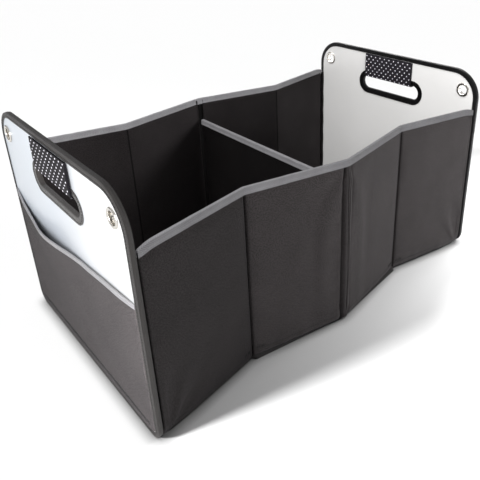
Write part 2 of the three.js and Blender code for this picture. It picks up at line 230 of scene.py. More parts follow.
def channel(h, w, t, ridge=0.00025, round_=0.0012, legs=7, grow=0.0):
    """Closed cross-section of folded tape: (out, in) pairs, out across the panel and in away from the edge.
    Returns points and the distance along the tape's face."""
    pts, along = [], []
    ds = np.linspace(w, round_, legs)
    for d in ds:
        e = ridge * (math.exp(-((w - d) / 0.0012) ** 2) + 0.35 * math.exp(-((w - 0.0024 - d) / 0.0006) ** 2) * -1.6)
        pts.append((h + e - 0.00012 * (1 - (d / w)) + grow, d))
        along.append(w - d)
    n = 6
    L0 = w - round_
    for k in range(1, n):
        a = math.pi / 2 * k / n
        pts.append((h - round_ * (1 - math.cos(a)), round_ * (1 - math.sin(a))))
        along.append(L0 + round_ * a)
    top = [(h - round_, 0.0), (0.0, -0.00005), (-(h - round_), 0.0)]
    L1 = L0 + round_ * math.pi / 2
    for i, p in enumerate(top):
        pts.append(p)
        along.append(L1 + i * (h - round_))
    L2 = along[-1]
    for k in range(1, n):
        a = math.pi / 2 * k / n
        pts.append((-(h - round_) - round_ * math.sin(a), round_ * (1 - math.cos(a))))
        along.append(L2 + round_ * a)
    L3 = L2 + round_ * math.pi / 2
    for d in ds[::-1]:
        e = ridge * (math.exp(-((w - d) / 0.0012) ** 2) + 0.35 * math.exp(-((w - 0.0024 - d) / 0.0006) ** 2) * -1.6)
        pts.append((-(h + e - 0.00012 * (1 - (d / w))) - grow, d))
        along.append(L3 + d - round_)
    hi = h - t
    L4 = along[-1]
    inner = [(-hi, w), (-hi, w * 0.5), (-hi, t), (hi, t), (hi, w * 0.5), (hi, w)]
    for i, p in enumerate(inner):
        pts.append(p)
        along.append(L4 + 0.001 * (i + 1))
    return np.array(pts), np.array(along)


def stitch(build, path, normal, mat, length=0.0024, pitch=0.0034, r=0.00026, lift=0.00012, phase=0.0):
    """Rows of thread stitches lying along a polyline. normal is one vector per point, pointing out of the cloth."""
    path, normal = np.asarray(path, float), np.asarray(normal, float)
    seg = np.linalg.norm(np.diff(path, axis=0), axis=1)
    L = np.r_[0, np.cumsum(seg)]
    s = phase + pitch * 0.5
    lens = [-0.5, -0.38, 0.0, 0.38, 0.5]
    rad = [0.25, 0.85, 1.0, 0.85, 0.25]
    V, F, UV = [], [], []
    while s < L[-1] - pitch * 0.5:
        p = np.array([np.interp(s, L, path[:, k]) for k in range(3)])
        q = np.array([np.interp(min(s + 0.0008, L[-1]), L, path[:, k]) for k in range(3)])
        p0 = np.array([np.interp(max(s - 0.0008, 0), L, path[:, k]) for k in range(3)])
        d = q - p0
        d /= max(np.linalg.norm(d), 1e-9)
        n = np.array([np.interp(s, L, normal[:, k]) for k in range(3)])
        n -= d * (n @ d)
        n /= max(np.linalg.norm(n), 1e-9)
        b = np.cross(d, n)
        o = len(V)
        for li, ra in zip(lens, rad):
            for k in range(6):
                a = 2 * math.pi * k / 6
                V.append(p + d * li * length + n * (lift * (1 - 4 * li * li) + r * ra * math.sin(a)) + b * r * ra * math.cos(a))
                UV.append((s + li * length, k * 0.0003))
        for i in range(4):
            for k in range(6):
                F.append([o + i * 6 + k, o + i * 6 + (k + 1) % 6, o + (i + 1) * 6 + (k + 1) % 6, o + (i + 1) * 6 + k])
        F.append([o + k for k in range(5, -1, -1)])
        F.append([o + 24 + k for k in range(6)])
        s += pitch
    if V:
        F = [f[::-1] for f in F]
        build.add(V, UV, F, mat)


# ---------------------------------------------------------------- materials
def mat_new(name):
    m = bpy.data.materials.new(name)
    m.use_nodes = True
    nt = m.node_tree
    bsdf = nt.nodes["Principled BSDF"]
    return m, nt, bsdf


def N(nt, kind, **kw):
    n = nt.nodes.new(kind)
    for k, v in kw.items():
        if k == "inputs":
            for a, b in v.items():
                n.inputs[a].default_value = b
        else:
            setattr(n, k, v)
    return n


def math_(nt, op, a, b=None, c=None):
    n = nt.nodes.new("ShaderNodeMath")
    n.operation = op
    for i, x in enumerate((a, b, c)):
        if x is None:
            continue
        if isinstance(x, (int, float)):
            n.inputs[i].default_value = x
        else:
            nt.links.new(x, n.inputs[i])
    return n.outputs[0]


def uv_mm(nt):
    uv = nt.nodes.new("ShaderNodeUVMap")
    uv.uv_map = "UVMap"
    sep = nt.nodes.new("ShaderNodeSeparateXYZ")
    nt.links.new(uv.outputs[0], sep.inputs[0])
    return uv.outputs[0], math_(nt, "MULTIPLY", sep.outputs[0], 1000.0), math_(nt, "MULTIPLY", sep.outputs[1], 1000.0)


def noise_at(nt, vec, scale, detail=3.0, rough=0.55, w=None):
    n = N(nt, "ShaderNodeTexNoise", inputs={"Scale": scale, "Detail": detail, "Roughness": rough})
    nt.links.new(vec, n.inputs["Vector"])
    return n.outputs["Fac"]


def ramp(nt, fac, stops):
    r = nt.nodes.new("ShaderNodeValToRGB")
    while len(r.color_ramp.elements) < len(stops):
        r.color_ramp.elements.new(0.5)
    for e, (p, c) in zip(r.color_ramp.elements, stops):
        e.position = p
        e.color = (*c, 1.0)
    nt.links.new(fac, r.inputs["Fac"])
    return r.outputs["Color"]


def mixc(nt, fac, a, b, mode="MIX"):
    n = nt.nodes.new("ShaderNodeMix")
    n.data_type = "RGBA"
    n.blend_type = mode
    for sock, x in ((n.inputs["Factor"], fac), (n.inputs["A"], a), (n.inputs["B"], b)):
        if isinstance(x, (int, float)):
            sock.default_value = x
        elif isinstance(x, tuple):
            sock.default_value = (*x, 1.0)
        else:
            nt.links.new(x, sock)
    return n.outputs["Result"]


def weave(nt, u, v, pitch):
    """Plain weave height 0..1 from coordinates in mm: threads pass over and under each other."""
    pu = math_(nt, "MULTIPLY", u, 1.0 / pitch)
    pv = math_(nt, "MULTIPLY", v, 1.0 / pitch)
    par = math_(nt, "FLOORED_MODULO", math_(nt, "ADD", math_(nt, "FLOOR", pu), math_(nt, "FLOOR", pv)), 2.0)
    fu = math_(nt, "ABSOLUTE", math_(nt, "SINE", math_(nt, "MULTIPLY", pu, math.pi)))
    fv = math_(nt, "ABSOLUTE", math_(nt, "SINE", math_(nt, "MULTIPLY", pv, math.pi)))
    warp = math_(nt, "MULTIPLY", math_(nt, "POWER", fu, 0.6), math_(nt, "ADD", 0.55, math_(nt, "MULTIPLY", fv, 0.45)))
    weft = math_(nt, "MULTIPLY", math_(nt, "POWER", fv, 0.6), math_(nt, "ADD", 0.55, math_(nt, "MULTIPLY", fu, 0.45)))
    a = math_(nt, "MULTIPLY", warp, par)
    b = math_(nt, "MULTIPLY", weft, math_(nt, "SUBTRACT", 1.0, par))
    return math_(nt, "ADD", a, b), par


def bump(nt, bsdf, height, dist, strength=1.0, prev=None):
    b = nt.nodes.new("ShaderNodeBump")
    b.inputs["Strength"].default_value = strength
    b.inputs["Distance"].default_value = dist
    nt.links.new(height, b.inputs["Height"])
    if prev is not None:
        nt.links.new(prev, b.inputs["Normal"])
    if bsdf is not None:
        nt.links.new(b.outputs[0], bsdf.inputs["Normal"])
    return b.outputs[0]


def fabric(name, lo, hi, pitch=0.62, rough=0.88, sheen=0.25, tint=(1, 1, 1), bumpd=0.00022, grain=0.5, crease_shade_u=None, hem_shade_v=None):
    """Woven polyester: thread-by-thread weave, slubs, faint mottling and a dusty sheen."""
    m, nt, bsdf = mat_new(name)
    vec, u, v = uv_mm(nt)
    mm = N(nt, "ShaderNodeVectorMath", operation="SCALE", inputs={"Scale": 1000.0})
    nt.links.new(vec, mm.inputs[0])
    P = mm.outputs[0]
    wob = math_(nt, "MULTIPLY", math_(nt, "SUBTRACT", noise_at(nt, P, 0.35, 2.0), 0.5), 0.5)
    h, par = weave(nt, math_(nt, "ADD", u, wob), math_(nt, "ADD", v, wob), pitch)
    dashes = []                                  # yarns thick and thin along their length, in both directions
    for fu_, fv_ in ((0.50, 1.70), (1.70, 0.50)):
        cd = nt.nodes.new("ShaderNodeCombineXYZ")
        nt.links.new(math_(nt, "MULTIPLY", u, fu_), cd.inputs[0])
        nt.links.new(math_(nt, "MULTIPLY", v, fv_), cd.inputs[1])
        dashes.append(noise_at(nt, cd.outputs[0], 1.0, 2.0, 0.6))
    fine = math_(nt, "MULTIPLY", math_(nt, "ADD", dashes[0], dashes[1]), 0.5)
    slub = N(nt, "ShaderNodeTexNoise", inputs={"Scale": 1.0, "Detail": 2.0, "Roughness": 0.6})
    comb = nt.nodes.new("ShaderNodeCombineXYZ")
    nt.links.new(math_(nt, "MULTIPLY", u, 0.16), comb.inputs[0])
    nt.links.new(math_(nt, "MULTIPLY", v, 2.2), comb.inputs[1])
    nt.links.new(comb.outputs[0], slub.inputs["Vector"])
    comb2 = nt.nodes.new("ShaderNodeCombineXYZ")
    nt.links.new(math_(nt, "MULTIPLY", u, 2.2), comb2.inputs[0])
    nt.links.new(math_(nt, "MULTIPLY", v, 0.16), comb2.inputs[1])
    slub2 = N(nt, "ShaderNodeTexNoise", inputs={"Scale": 1.0, "Detail": 2.0, "Roughness": 0.6})
    nt.links.new(comb2.outputs[0], slub2.inputs["Vector"])
    mott = noise_at(nt, P, 0.018, 3.0, 0.6)      # broad unevenness
    f = math_(nt, "ADD", math_(nt, "MULTIPLY", math_(nt, "SUBTRACT", fine, 0.5), 4.2 * grain),
              math_(nt, "MULTIPLY", math_(nt, "SUBTRACT", math_(nt, "ADD", slub.outputs["Fac"], slub2.outputs["Fac"]), 1.0), 0.8 * grain))
    f = math_(nt, "ADD", f, math_(nt, "MULTIPLY", math_(nt, "SUBTRACT", mott, 0.5), 0.6))
    f = math_(nt, "ADD", f, math_(nt, "MULTIPLY", math_(nt, "SUBTRACT", h, 0.6), 0.35))
    fleck = noise_at(nt, P, 0.75, 2.0, 0.7)      # lint and nap
    f = math_(nt, "ADD", f, math_(nt, "MULTIPLY", math_(nt, "SUBTRACT", fleck, 0.5), 3.0 * grain))
    f = math_(nt, "ADD", f, 0.5)
    col = ramp(nt, f, [(0.0, tuple(lo[i] * tint[i] for i in range(3))), (1.0, tuple(hi[i] * tint[i] for i in range(3)))])
    if crease_shade_u is not None:                       # painted shade: a dark line along the crease where the sheet is folded and sewn
        off = math_(nt, "ABSOLUTE", math_(nt, "SUBTRACT", u, crease_shade_u * 1000.0))
        line = math_(nt, "MINIMUM", math_(nt, "MAXIMUM", math_(nt, "SUBTRACT", 1.6, off), 0.0), 1.0)
        col = mixc(nt, math_(nt, "MULTIPLY", line, 0.85), col, (0.0015, 0.0013, 0.0013))
    if hem_shade_v is not None:                      # painted shade: a dark band where the cloth is pressed in along its hem stitching
        off = math_(nt, "ABSOLUTE", math_(nt, "SUBTRACT", v, hem_shade_v))
        line = math_(nt, "MINIMUM", math_(nt, "MAXIMUM", math_(nt, "SUBTRACT", 1.25, off), 0.0), 1.0)
        col = mixc(nt, math_(nt, "MULTIPLY", line, 0.55), col, (0.006, 0.005, 0.005))
    nt.links.new(col, bsdf.inputs["Base Color"])
    bsdf.inputs["Roughness"].default_value = rough
    bsdf.inputs["Specular IOR Level"].default_value = 0.25
    bsdf.inputs["Sheen Weight"].default_value = sheen
    bsdf.inputs["Sheen Roughness"].default_value = 0.45
    bsdf.inputs["Sheen Tint"].default_value = (0.75, 0.74, 0.76, 1)
    b1 = bump(nt, None, mott, 0.0012, 0.6)
    hh = math_(nt, "ADD", h, math_(nt, "MULTIPLY", fine, 0.45))
    bump(nt, bsdf, hh, bumpd, 0.8, b1)
    return m


def ribbed(name, lo, hi, rib=1.5, rough=0.7, sheen=0.3, spec=0.3, bumpd=0.00025, herring=4.0, dots=0.0):
    """Narrow woven tape with a herringbone face: u runs along the tape, v across it."""
    m, nt, bsdf = mat_new(name)
    vec, u, v = uv_mm(nt)
    mm = N(nt, "ShaderNodeVectorMath", operation="SCALE", inputs={"Scale": 1000.0})
    nt.links.new(vec, mm.inputs[0])
    P = mm.outputs[0]
    tri = math_(nt, "PINGPONG", v, herring)
    ph = math_(nt, "MULTIPLY", math_(nt, "ADD", u, tri), 2 * math.pi / rib)
    r = math_(nt, "ADD", 0.5, math_(nt, "MULTIPLY", math_(nt, "SINE", ph), 0.5))
    thr = math_(nt, "ADD", 0.5, math_(nt, "MULTIPLY", math_(nt, "SINE", math_(nt, "MULTIPLY", v, 2 * math.pi / 0.55)), 0.5))
    h = math_(nt, "ADD", math_(nt, "MULTIPLY", r, 0.75), math_(nt, "MULTIPLY", thr, 0.25))
    fine = noise_at(nt, P, 0.9, 2.0, 0.7)
    mott = noise_at(nt, P, 0.05, 3.0)
    f = math_(nt, "ADD", math_(nt, "MULTIPLY", h, 0.55), math_(nt, "MULTIPLY", fine, 0.45))
    f = math_(nt, "ADD", f, math_(nt, "MULTIPLY", math_(nt, "SUBTRACT", mott, 0.5), 0.5))
    col = ramp(nt, f, [(0.05, lo), (0.95, hi)])
    nt.links.new(col, bsdf.inputs["Base Color"])
    bsdf.inputs["Roughness"].default_value = rough
    bsdf.inputs["Specular IOR Level"].default_value = spec
    bsdf.inputs["Sheen Weight"].default_value = sheen
    bsdf.inputs["Sheen Roughness"].default_value = 0.4
    bump(nt, bsdf, math_(nt, "ADD", h, math_(nt, "MULTIPLY", fine, 0.4)), bumpd, 0.9)
    return m


def plain(name, lo, hi, rough, metal=0.0, scale=0.05, coat=0.0, bumpd=0.0, bscale=0.6, rvar=0.08, spec=0.5, obj=True):
    m, nt, bsdf = mat_new(name)
    tc = nt.nodes.new("ShaderNodeTexCoord")
    mm = N(nt, "ShaderNodeVectorMath", operation="SCALE", inputs={"Scale": 1000.0})
    nt.links.new(tc.outputs["Object"], mm.inputs[0])
    P = mm.outputs[0]
    n1 = noise_at(nt, P, scale, 3.0)
    nt.links.new(ramp(nt, n1, [(0.25, lo), (0.75, hi)]), bsdf.inputs["Base Color"])
    n2 = noise_at(nt, P, scale * 6, 4.0)
    nt.links.new(math_(nt, "ADD", rough - rvar / 2, math_(nt, "MULTIPLY", n2, rvar)), bsdf.inputs["Roughness"])
    bsdf.inputs["Metallic"].default_value = metal
    bsdf.inputs["Specular IOR Level"].default_value = spec
    bsdf.inputs["Coat Weight"].default_value = coat
    bsdf.inputs["Coat Roughness"].default_value = 0.12
    if bumpd:
        bump(nt, bsdf, noise_at(nt, P, bscale, 2.0), bumpd, 1.0)
    return m


MAT = {}
MAT["wall"] = fabric("wall_fabric", (0.029, 0.0252, 0.0250), (0.098, 0.0850, 0.0860), grain=1.0)
MAT["wall_hem"] = fabric("wall_fabric_hem", (0.029, 0.0252, 0.0250), (0.098, 0.0850, 0.0860), grain=1.0, hem_shade_v=8.5)
MAT["pocket"] = fabric("pocket_fabric", (0.038, 0.0335, 0.0340), (0.124, 0.109, 0.1115), grain=1.0, sheen=0.05)
MAT["lining"] = fabric("black_lining", (0.010, 0.0082, 0.0085), (0.040, 0.034, 0.035), sheen=0.03, pitch=0.5)
MAT["inner"] = fabric("inner_wall_cloth", (0.022, 0.0185, 0.019), (0.072, 0.062, 0.064), sheen=0.05, pitch=0.6, crease_shade_u=(F_X - M_X - 0.00085 * math.sin(ANG)) / math.cos(ANG))
# painted shade: a near-black copy of the lining for the strip in the gap behind the mid ridge
MAT["deep"] = fabric("shaded_lining", (0.003, 0.0026, 0.0026), (0.012, 0.0105, 0.0105), sheen=0.0, pitch=0.5)
MAT["base"] = fabric("base_fabric", (0.028, 0.026, 0.026), (0.072, 0.067, 0.068))
MAT["grey"] = ribbed("grey_tape", (0.15, 0.147, 0.155), (0.52, 0.51, 0.535), rib=2.0, bumpd=0.00035)
MAT["black"] = ribbed("black_tape", (0.006, 0.0055, 0.006), (0.026, 0.024, 0.025), rib=1.1, rough=0.48, sheen=0.15, spec=0.45, herring=100.0)
# painted light: a lighter, warmer copy of the black binding tape for the lit left end; the right end keeps the dark
# tape
MAT["black_left"] = ribbed("black_tape_left", (0.021, 0.0187, 0.0178), (0.066, 0.0585, 0.0555), rib=1.1, rough=0.5, sheen=0.2, spec=0.4, herring=100.0)
MAT["thread_dark"] = plain("dark_thread", (0.010, 0.010, 0.011), (0.025, 0.024, 0.026), 0.6)
MAT["thread_grey"] = plain("grey_thread", (0.34, 0.335, 0.35), (0.48, 0.475, 0.49), 0.6)
MAT["thread_wall"] = plain("wall_thread", (0.030, 0.027, 0.028), (0.060, 0.055, 0.056), 0.6)
MAT["matt"] = plain("matt_sheet", (0.74, 0.732, 0.72), (0.80, 0.79, 0.78), 0.42, scale=0.008, bumpd=0.0003, bscale=0.03)
MAT["rubber"] = plain("grip_rubber", (0.004, 0.0033, 0.0048), (0.010, 0.0084, 0.0118), 0.60, scale=0.3, bumpd=0.00008, bscale=2.5, spec=0.16)
MAT["dot"] = plain("grip_dot", (0.46, 0.44, 0.50), (0.92, 0.90, 0.97), 0.40, scale=0.35)
MAT["chrome"] = plain("eyelet_steel", (0.66, 0.63, 0.58), (0.78, 0.75, 0.70), 0.16, metal=1.0, scale=0.3, rvar=0.08)
MAT["board"] = plain("board", (0.22, 0.20, 0.17), (0.34, 0.31, 0.27), 0.85, scale=0.2, bumpd=0.0003, bscale=1.2)


def sheet_gloss_painted_falloff(name):
    """Polished white sheet with painted shade: its colour darkens and cools towards the far edge, standing in for the
    light falling off.
    """
    m, nt, bsdf = mat_new(name)
    tc = nt.nodes.new("ShaderNodeTexCoord")
    sep = nt.nodes.new("ShaderNodeSeparateXYZ")
    nt.links.new(tc.outputs["Object"], sep.inputs[0])
    mm = N(nt, "ShaderNodeVectorMath", operation="SCALE", inputs={"Scale": 1000.0})
    nt.links.new(tc.outputs["Object"], mm.inputs[0])
    n1 = noise_at(nt, mm.outputs[0], 0.006, 3.0)
    # painted shade: the base colour runs from near white at the near edge to a darker, cooler grey at the far edge
    # (object Y)
    f = math_(nt, "ADD", math_(nt, "MULTIPLY", math_(nt, "SUBTRACT", sep.outputs[1], -0.10), 3.6), math_(nt, "MULTIPLY", math_(nt, "SUBTRACT", n1, 0.5), 0.15))
    nt.links.new(ramp(nt, f, [(0.0, (0.80, 0.81, 0.82)), (0.45, (0.66, 0.705, 0.765)), (1.0, (0.60, 0.645, 0.70))]), bsdf.inputs["Base Color"])
    nt.links.new(math_(nt, "ADD", 0.28, math_(nt, "MULTIPLY", noise_at(nt, mm.outputs[0], 0.05, 3.0), 0.08)), bsdf.inputs["Roughness"])
    bsdf.inputs["Coat Weight"].default_value = 0.25
    bsdf.inputs["Coat Roughness"].default_value = 0.24
    bump(nt, bsdf, noise_at(nt, mm.outputs[0], 0.03, 2.0), 0.0004, 1.0)
    return m


MAT["gloss"] = sheet_gloss_painted_falloff("gloss_sheet")

# CAD nodes that stay: sheets and the hidden boards
for n, o in frame["nodes"].items():
    key = "gloss" if n.endswith("outer_sheet") else "matt" if n.endswith("inner_sheet") else "board"
    o.data.materials.clear()
    o.data.materials.append(MAT[key])


# --------------------------------------------------------------- end panels
def swept_channel(name, side, box4, radii, w, out_dir, mat, thread, thick, pucker, body, replaces_node, step=0.0035, bead=0.0012):
    """Tape folded over an edge that runs round a closed outline."""
    y0, y1, z0, z1 = box4
    pts, nrm, L = outline(y0, y1, z0, z1, radii[0], radii[1], step)
    if out_dir < 0:
        nrm = -nrm
    h = (END_OUT - END_IN) / 2
    prof, along = channel(h - 0.00035, w, 0.0004, round_=bead)
    s = 1 if side == "right" else -1
    b = Build()
    nP, nC = len(pts), len(prof)
    P = np.zeros((nP, nC, 3))
    UV = np.zeros((nP, nC, 2))
    # curvature gathers the tape's free edge
    turn = np.zeros(nP)
    for i in range(nP):
        a, c = nrm[i - 1], nrm[(i + 1) % nP]
        turn[i] = abs(a[0] * c[1] - a[1] * c[0])
    turn = turn / max(turn.max(), 1e-9)
    turn = (turn + np.roll(turn, 1) + np.roll(turn, -1)) / 3
    wob = noise2(L / 0.02, np.zeros(nP), 11 + (side == "left"), 2)
    for i in range(nP):
        for k in range(nC):
            x, d = prof[k]
            leg = smooth01((d - 0.002) / (w - 0.002))
            x2 = x + math.copysign(1, x) * (pucker * leg * (turn[i] * math.sin(L[i] / 0.0011) + 0.45 * wob[i]))
            d2 = d * (1 + 0.006 * wob[i])
            P[i, k] = (s * END_MID + x2, pts[i, 0] + nrm[i, 0] * d2, pts[i, 1] + nrm[i, 1] * d2)
            UV[i, k] = (L[i], along[k])
    inside_out = (out_dir > 0)
    b.grid(P, UV, 0, flip=not inside_out, close_u=True, close_v=True)
    for sg in (1, -1):
        x = sg * (h - 0.0003) + s * END_MID
        d = w - 0.0022
        path = np.array([[x, pts[i, 0] + nrm[i, 0] * d, pts[i, 1] + nrm[i, 1] * d] for i in list(range(nP)) + [0]])
        stitch(b, path, np.tile([sg, 0, 0], (len(path), 1)), 1)
    ob = b.make(name, [mat, thread], sharp=50)
    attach(ob, body)
    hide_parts(replaces_node)
    return ob


for side, s in (("left", -1), ("right", 1)):
    body = f"{side}_end"
    swept_channel(f"{side}_edge_tape", side, (-END_HALF, END_HALF, 0.0, END_H), (R_TOP, R_BOT), EDGE_W, 1,
                  MAT["black"] if side == "right" else MAT["black_left"], MAT["thread_dark"], 0.0007, 0.00010, body, f"{side}_edge_binding", bead=0.0024)
    so = (slot_lo[1] + SLOT_W, slot_hi[1] - SLOT_W, slot_lo[2] + SLOT_W, slot_hi[2] - SLOT_W)
    r = (so[3] - so[2]) / 2 - 0.0002
    swept_channel(f"{side}_slot_tape", side, so, (r, r), SLOT_W - 0.0002, -1,
                  MAT["black"] if side == "right" else MAT["black_left"], MAT["thread_dark"], 0.0007, 0.00010, body, f"{side}_slot_binding", step=0.0025, bead=0.0018)

    # ---- grip sleeve: a padded U over the slot's upper edge, with raised dots
    xo = s * sl_hi[0] if s > 0 else -sl_hi[0]
    X1, X0 = sl_hi[0], sl_lo[0]
    zt, zb = sl_hi[2] + 0.0028, sl_lo[2]
    halfy = sl_hi[1]
    yg = 0.004 if s > 0 else 0.0
    t = 0.0022
    xm = (X1 + X0) / 2
    prof = []   # outer path from the outer top edge, down and round to the inner top edge
    rr_ = 0.0042
    for z in np.linspace(zt, zb + rr_, 9):
        k = (z - zb) / (zt - zb)
        prof.append((X1 - 0.0004 + 0.0005 * math.sin(math.pi * min(1, k * 1.05)), z))
    for a in np.linspace(0, math.pi / 2, 7)[1:]:
        prof.append((X1 - 0.0004 - rr_ * (1 - math.cos(a)), zb + rr_ * (1 - math.sin(a))))
    for a in np.linspace(0, math.pi / 2, 7)[1:]:
        prof.append((X0 + 0.0004 + rr_ * (1 - math.sin(a)), zb + rr_ * (1 - math.cos(a))))
    for z in np.linspace(zb + rr_, zt, 9)[1:]:
        k = (z - zb) / (zt - zb)
        prof.append((X0 + 0.0004 - 0.0005 * math.sin(math.pi * min(1, k * 1.05)), z))
    prof = np.array(prof)
    inner = np.array([(X0 + t, zt - 0.0002), (X0 + t, zb + t + 0.0012), (X0 + t + 0.0012, zb + t), (X1 - t - 0.0012, zb + t), (X1 - t, zb + t + 0.0012), (X1 - t, zt - 0.0002)])
    cyc = np.vstack([prof, inner])
    al = np.r_[0, np.cumsum(np.linalg.norm(np.diff(cyc, axis=0), axis=1))]
    ys = np.r_[-halfy, -halfy + 0.0006, np.linspace(-halfy + 0.0016, halfy - 0.0016, 15), halfy - 0.0006, halfy]
    P = np.zeros((len(ys), len(cyc), 3))
    UV = np.zeros((len(ys), len(cyc), 2))
    cen = np.array([xm, (zt + zb) / 2])
    for i, y in enumerate(ys):
        e = min(1, (halfy - abs(y)) / 0.0016)
        pull = 0.0006 * (1 - math.sqrt(max(0.0, 1 - (1 - e) ** 2)))
        for k, (x, z) in enumerate(cyc):
            outer_pt = k < len(prof)
            xx = x - math.copysign(pull, x - xm) * (1 if outer_pt else 0)
            zz = z + (pull if (outer_pt and z < zb + rr_) else 0)
            P[i, k] = (s * xx, y + yg, zz)
            UV[i, k] = (y, al[k])
    b = Build()
    b.grid(P, UV, 0, flip=(s < 0), close_v=True)
    nC = len(cyc)
    b.poly(range(0, nC) if s > 0 else range(nC - 1, -1, -1))
    last = (len(ys) - 1) * nC
    b.poly(range(last + nC - 1, last - 1, -1) if s > 0 else range(last, last + nC))
    # dots
    LL = np.r_[0, np.cumsum(np.linalg.norm(np.diff(prof, axis=0), axis=1))]
    row, dl = 0, 0.0022
    while dl < LL[-1] - 0.0015:
        px, pz = np.interp(dl, LL, prof[:, 0]), np.interp(dl, LL, prof[:, 1])
        qx, qz = np.interp(min(dl + 0.0005, LL[-1]), LL, prof[:, 0]), np.interp(min(dl + 0.0005, LL[-1]), LL, prof[:, 1])
        q0x, q0z = np.interp(max(dl - 0.0005, 0), LL, prof[:, 0]), np.interp(max(dl - 0.0005, 0), LL, prof[:, 1])
        tx, tz = qx - q0x, qz - q0z
        L_ = math.hypot(tx, tz)
        tx, tz = tx / L_, tz / L_
        nx, nz = -tz, tx   # outward: the path runs down the outer face, so the normal is to its left
        if px > xm and nx < 0 or (px <= xm and nx > 0 and abs(nx) > 0.3):
            nx, nz = -nx, -nz
        if abs(nx) < 0.3 and nz > 0:
            nx, nz = -nx, -nz
        y = -halfy + (0.0034 if row % 2 == 0 else 0.0034 + 0.00465)
        while y < halfy - 0.002:
            cen3 = np.array([s * px, y + yg, pz])
            nn = np.array([s * nx, 0, nz])
            e1 = np.array([0, 1.0, 0])
            e2 = np.cross(nn, e1)
            V, F, UVs = [], [], []
            R, Hh = 0.00098, 0.0006
            rings = [(1.0, -0.35), (0.96, 0.25), (0.72, 0.72), (0.36, 0.94)]
            for ra, hh in rings:
                for k in range(10):
                    a = 2 * math.pi * k / 10
                    V.append(cen3 + nn * hh * Hh + (e1 * math.cos(a) + e2 * math.sin(a)) * R * ra)
                    UVs.append((0, 0))
            V.append(cen3 + nn * Hh)
            UVs.append((0, 0))
            for q in range(3):
                for k in range(10):
                    F.append([q * 10 + k, q * 10 + (k + 1) % 10, (q + 1) * 10 + (k + 1) % 10, (q + 1) * 10 + k])
            for k in range(10):
                F.append([30 + k, 30 + (k + 1) % 10, 40])
            F.append([k for k in range(9, -1, -1)])
            b.add(V, UVs, F, 1)
            y += 0.0093
        dl += 0.0047
        row += 1
    ob = b.make(f"{side}_dotted_grip", [MAT["rubber"], MAT["dot"]], sharp=40)
    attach(ob, body)
    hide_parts(f"{side}_grip_sleeve")

    # ---- eyelets: spun rings with rolled rims
    for where in ("near", "far"):
        yc = EY_Y * (1 if where == "far" else -1)
        a0, a1 = (abs(v) for v in (ey["far"][0][0], ey["far"][1][0]))
        xi, xo_ = min(a0, a1), max(a0, a1)
        Rin, Rb, Ro = 0.00675, 0.0075, EY_R
        prof = []
        rm, rw = (Rin + Ro) / 2, (Ro - Rin) / 2
        fh = 0.0019
        for a in np.linspace(math.pi, 0, 13):     # outer face bead, from the bore out to the rim
            prof.append((rm + rw * math.cos(a), xo_ - 0.0012 + fh * math.sin(a) ** 0.8 * 0.72))
        prof.append((Ro - 0.0004, xo_ - 0.00135))
        prof.append((Rb, xo_ - 0.00125))
        prof.append((Rb, xi + 0.00125))
        prof.append((Ro - 0.0004, xi + 0.00135))
        for a in np.linspace(0, math.pi, 13):
            prof.append((rm + rw * math.cos(a), xi + 0.0012 - fh * math.sin(a) ** 0.8 * 0.72))
        prof = np.array(prof)
        nA = 56
        P = np.zeros((nA, len(prof), 3))
        UV = np.zeros((nA, len(prof), 2))
        for i in range(nA):
            a = 2 * math.pi * i / nA
            P[i, :, 0] = s * prof[:, 1]
            P[i, :, 1] = yc + prof[:, 0] * math.cos(a)
            P[i, :, 2] = EY_Z + prof[:, 0] * math.sin(a)
            UV[i, :, 0] = a * 0.008
            UV[i, :, 1] = prof[:, 0]
        b = Build()
        b.grid(P, UV, 0, flip=(s < 0), close_u=True, close_v=True)
        ob = b.make(f"{side}_eyelet_ring_{where}", [MAT["chrome"]], sharp=60)
        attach(ob, body)
        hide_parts(f"{side}_eyelet_{where}")

    # ---- pocket: cloth held at its sides and foot, its mouth bowed out and sagging
    mouth_pts = np.array([[-152.9, 170], [-148, 169.5], [-128, 168], [-107, 166.5], [-85, 164.5], [-62, 162], [-39, 160.6], [-18, 160.2], [3, 159.6], [20, 159.4], [47, 157.6], [83, 155.8], [117, 160], [138, 167], [152.9, 176]]) * MM
    sy = pk_hi[1] - 0.0001
    low = pk_lo[2] + 0.0003
    rb_ = R_BOT - low

    def mouth_z(y):
        from_y = mouth_pts[:, 0]
        return np.interp(y, from_y, mouth_pts[:, 1])
    nu, nv = 150, 76
    uu = np.linspace(-1, 1, nu)
    vv = np.linspace(0, 1, nv)
    ymw = uu * sy
    mz = mouth_z(ymw)
    kern = np.hanning(31); kern /= kern.sum()
    mz = np.convolve(np.pad(mz, 15, mode="edge"), kern, mode="valid")
    P = np.zeros((nu, nv, 3))
    UV = np.zeros((nu, nv, 2))
    sd = 31 if side == "left" else 57
    U, V_ = np.meshgrid(uu, vv, indexing="ij")
    Z = low + (mz[:, None] - low) * V_
    HW = np.where(Z < low + rb_, sy - rb_ + np.sqrt(np.maximum(rb_ ** 2 - (low + rb_ - Z) ** 2, 0)), sy)
    Y = U * HW
    env = np.maximum(0, 1 - np.abs(U) ** 2.6)
    ymm = Y / MM
    b_mouth = (8.5 * np.exp(-((ymm - 42) / 58) ** 2) + 1.6) * MM * np.minimum(1, env * 2.6)
    bow = b_mouth * (0.10 * V_ + 0.90 * V_ ** 2.2)
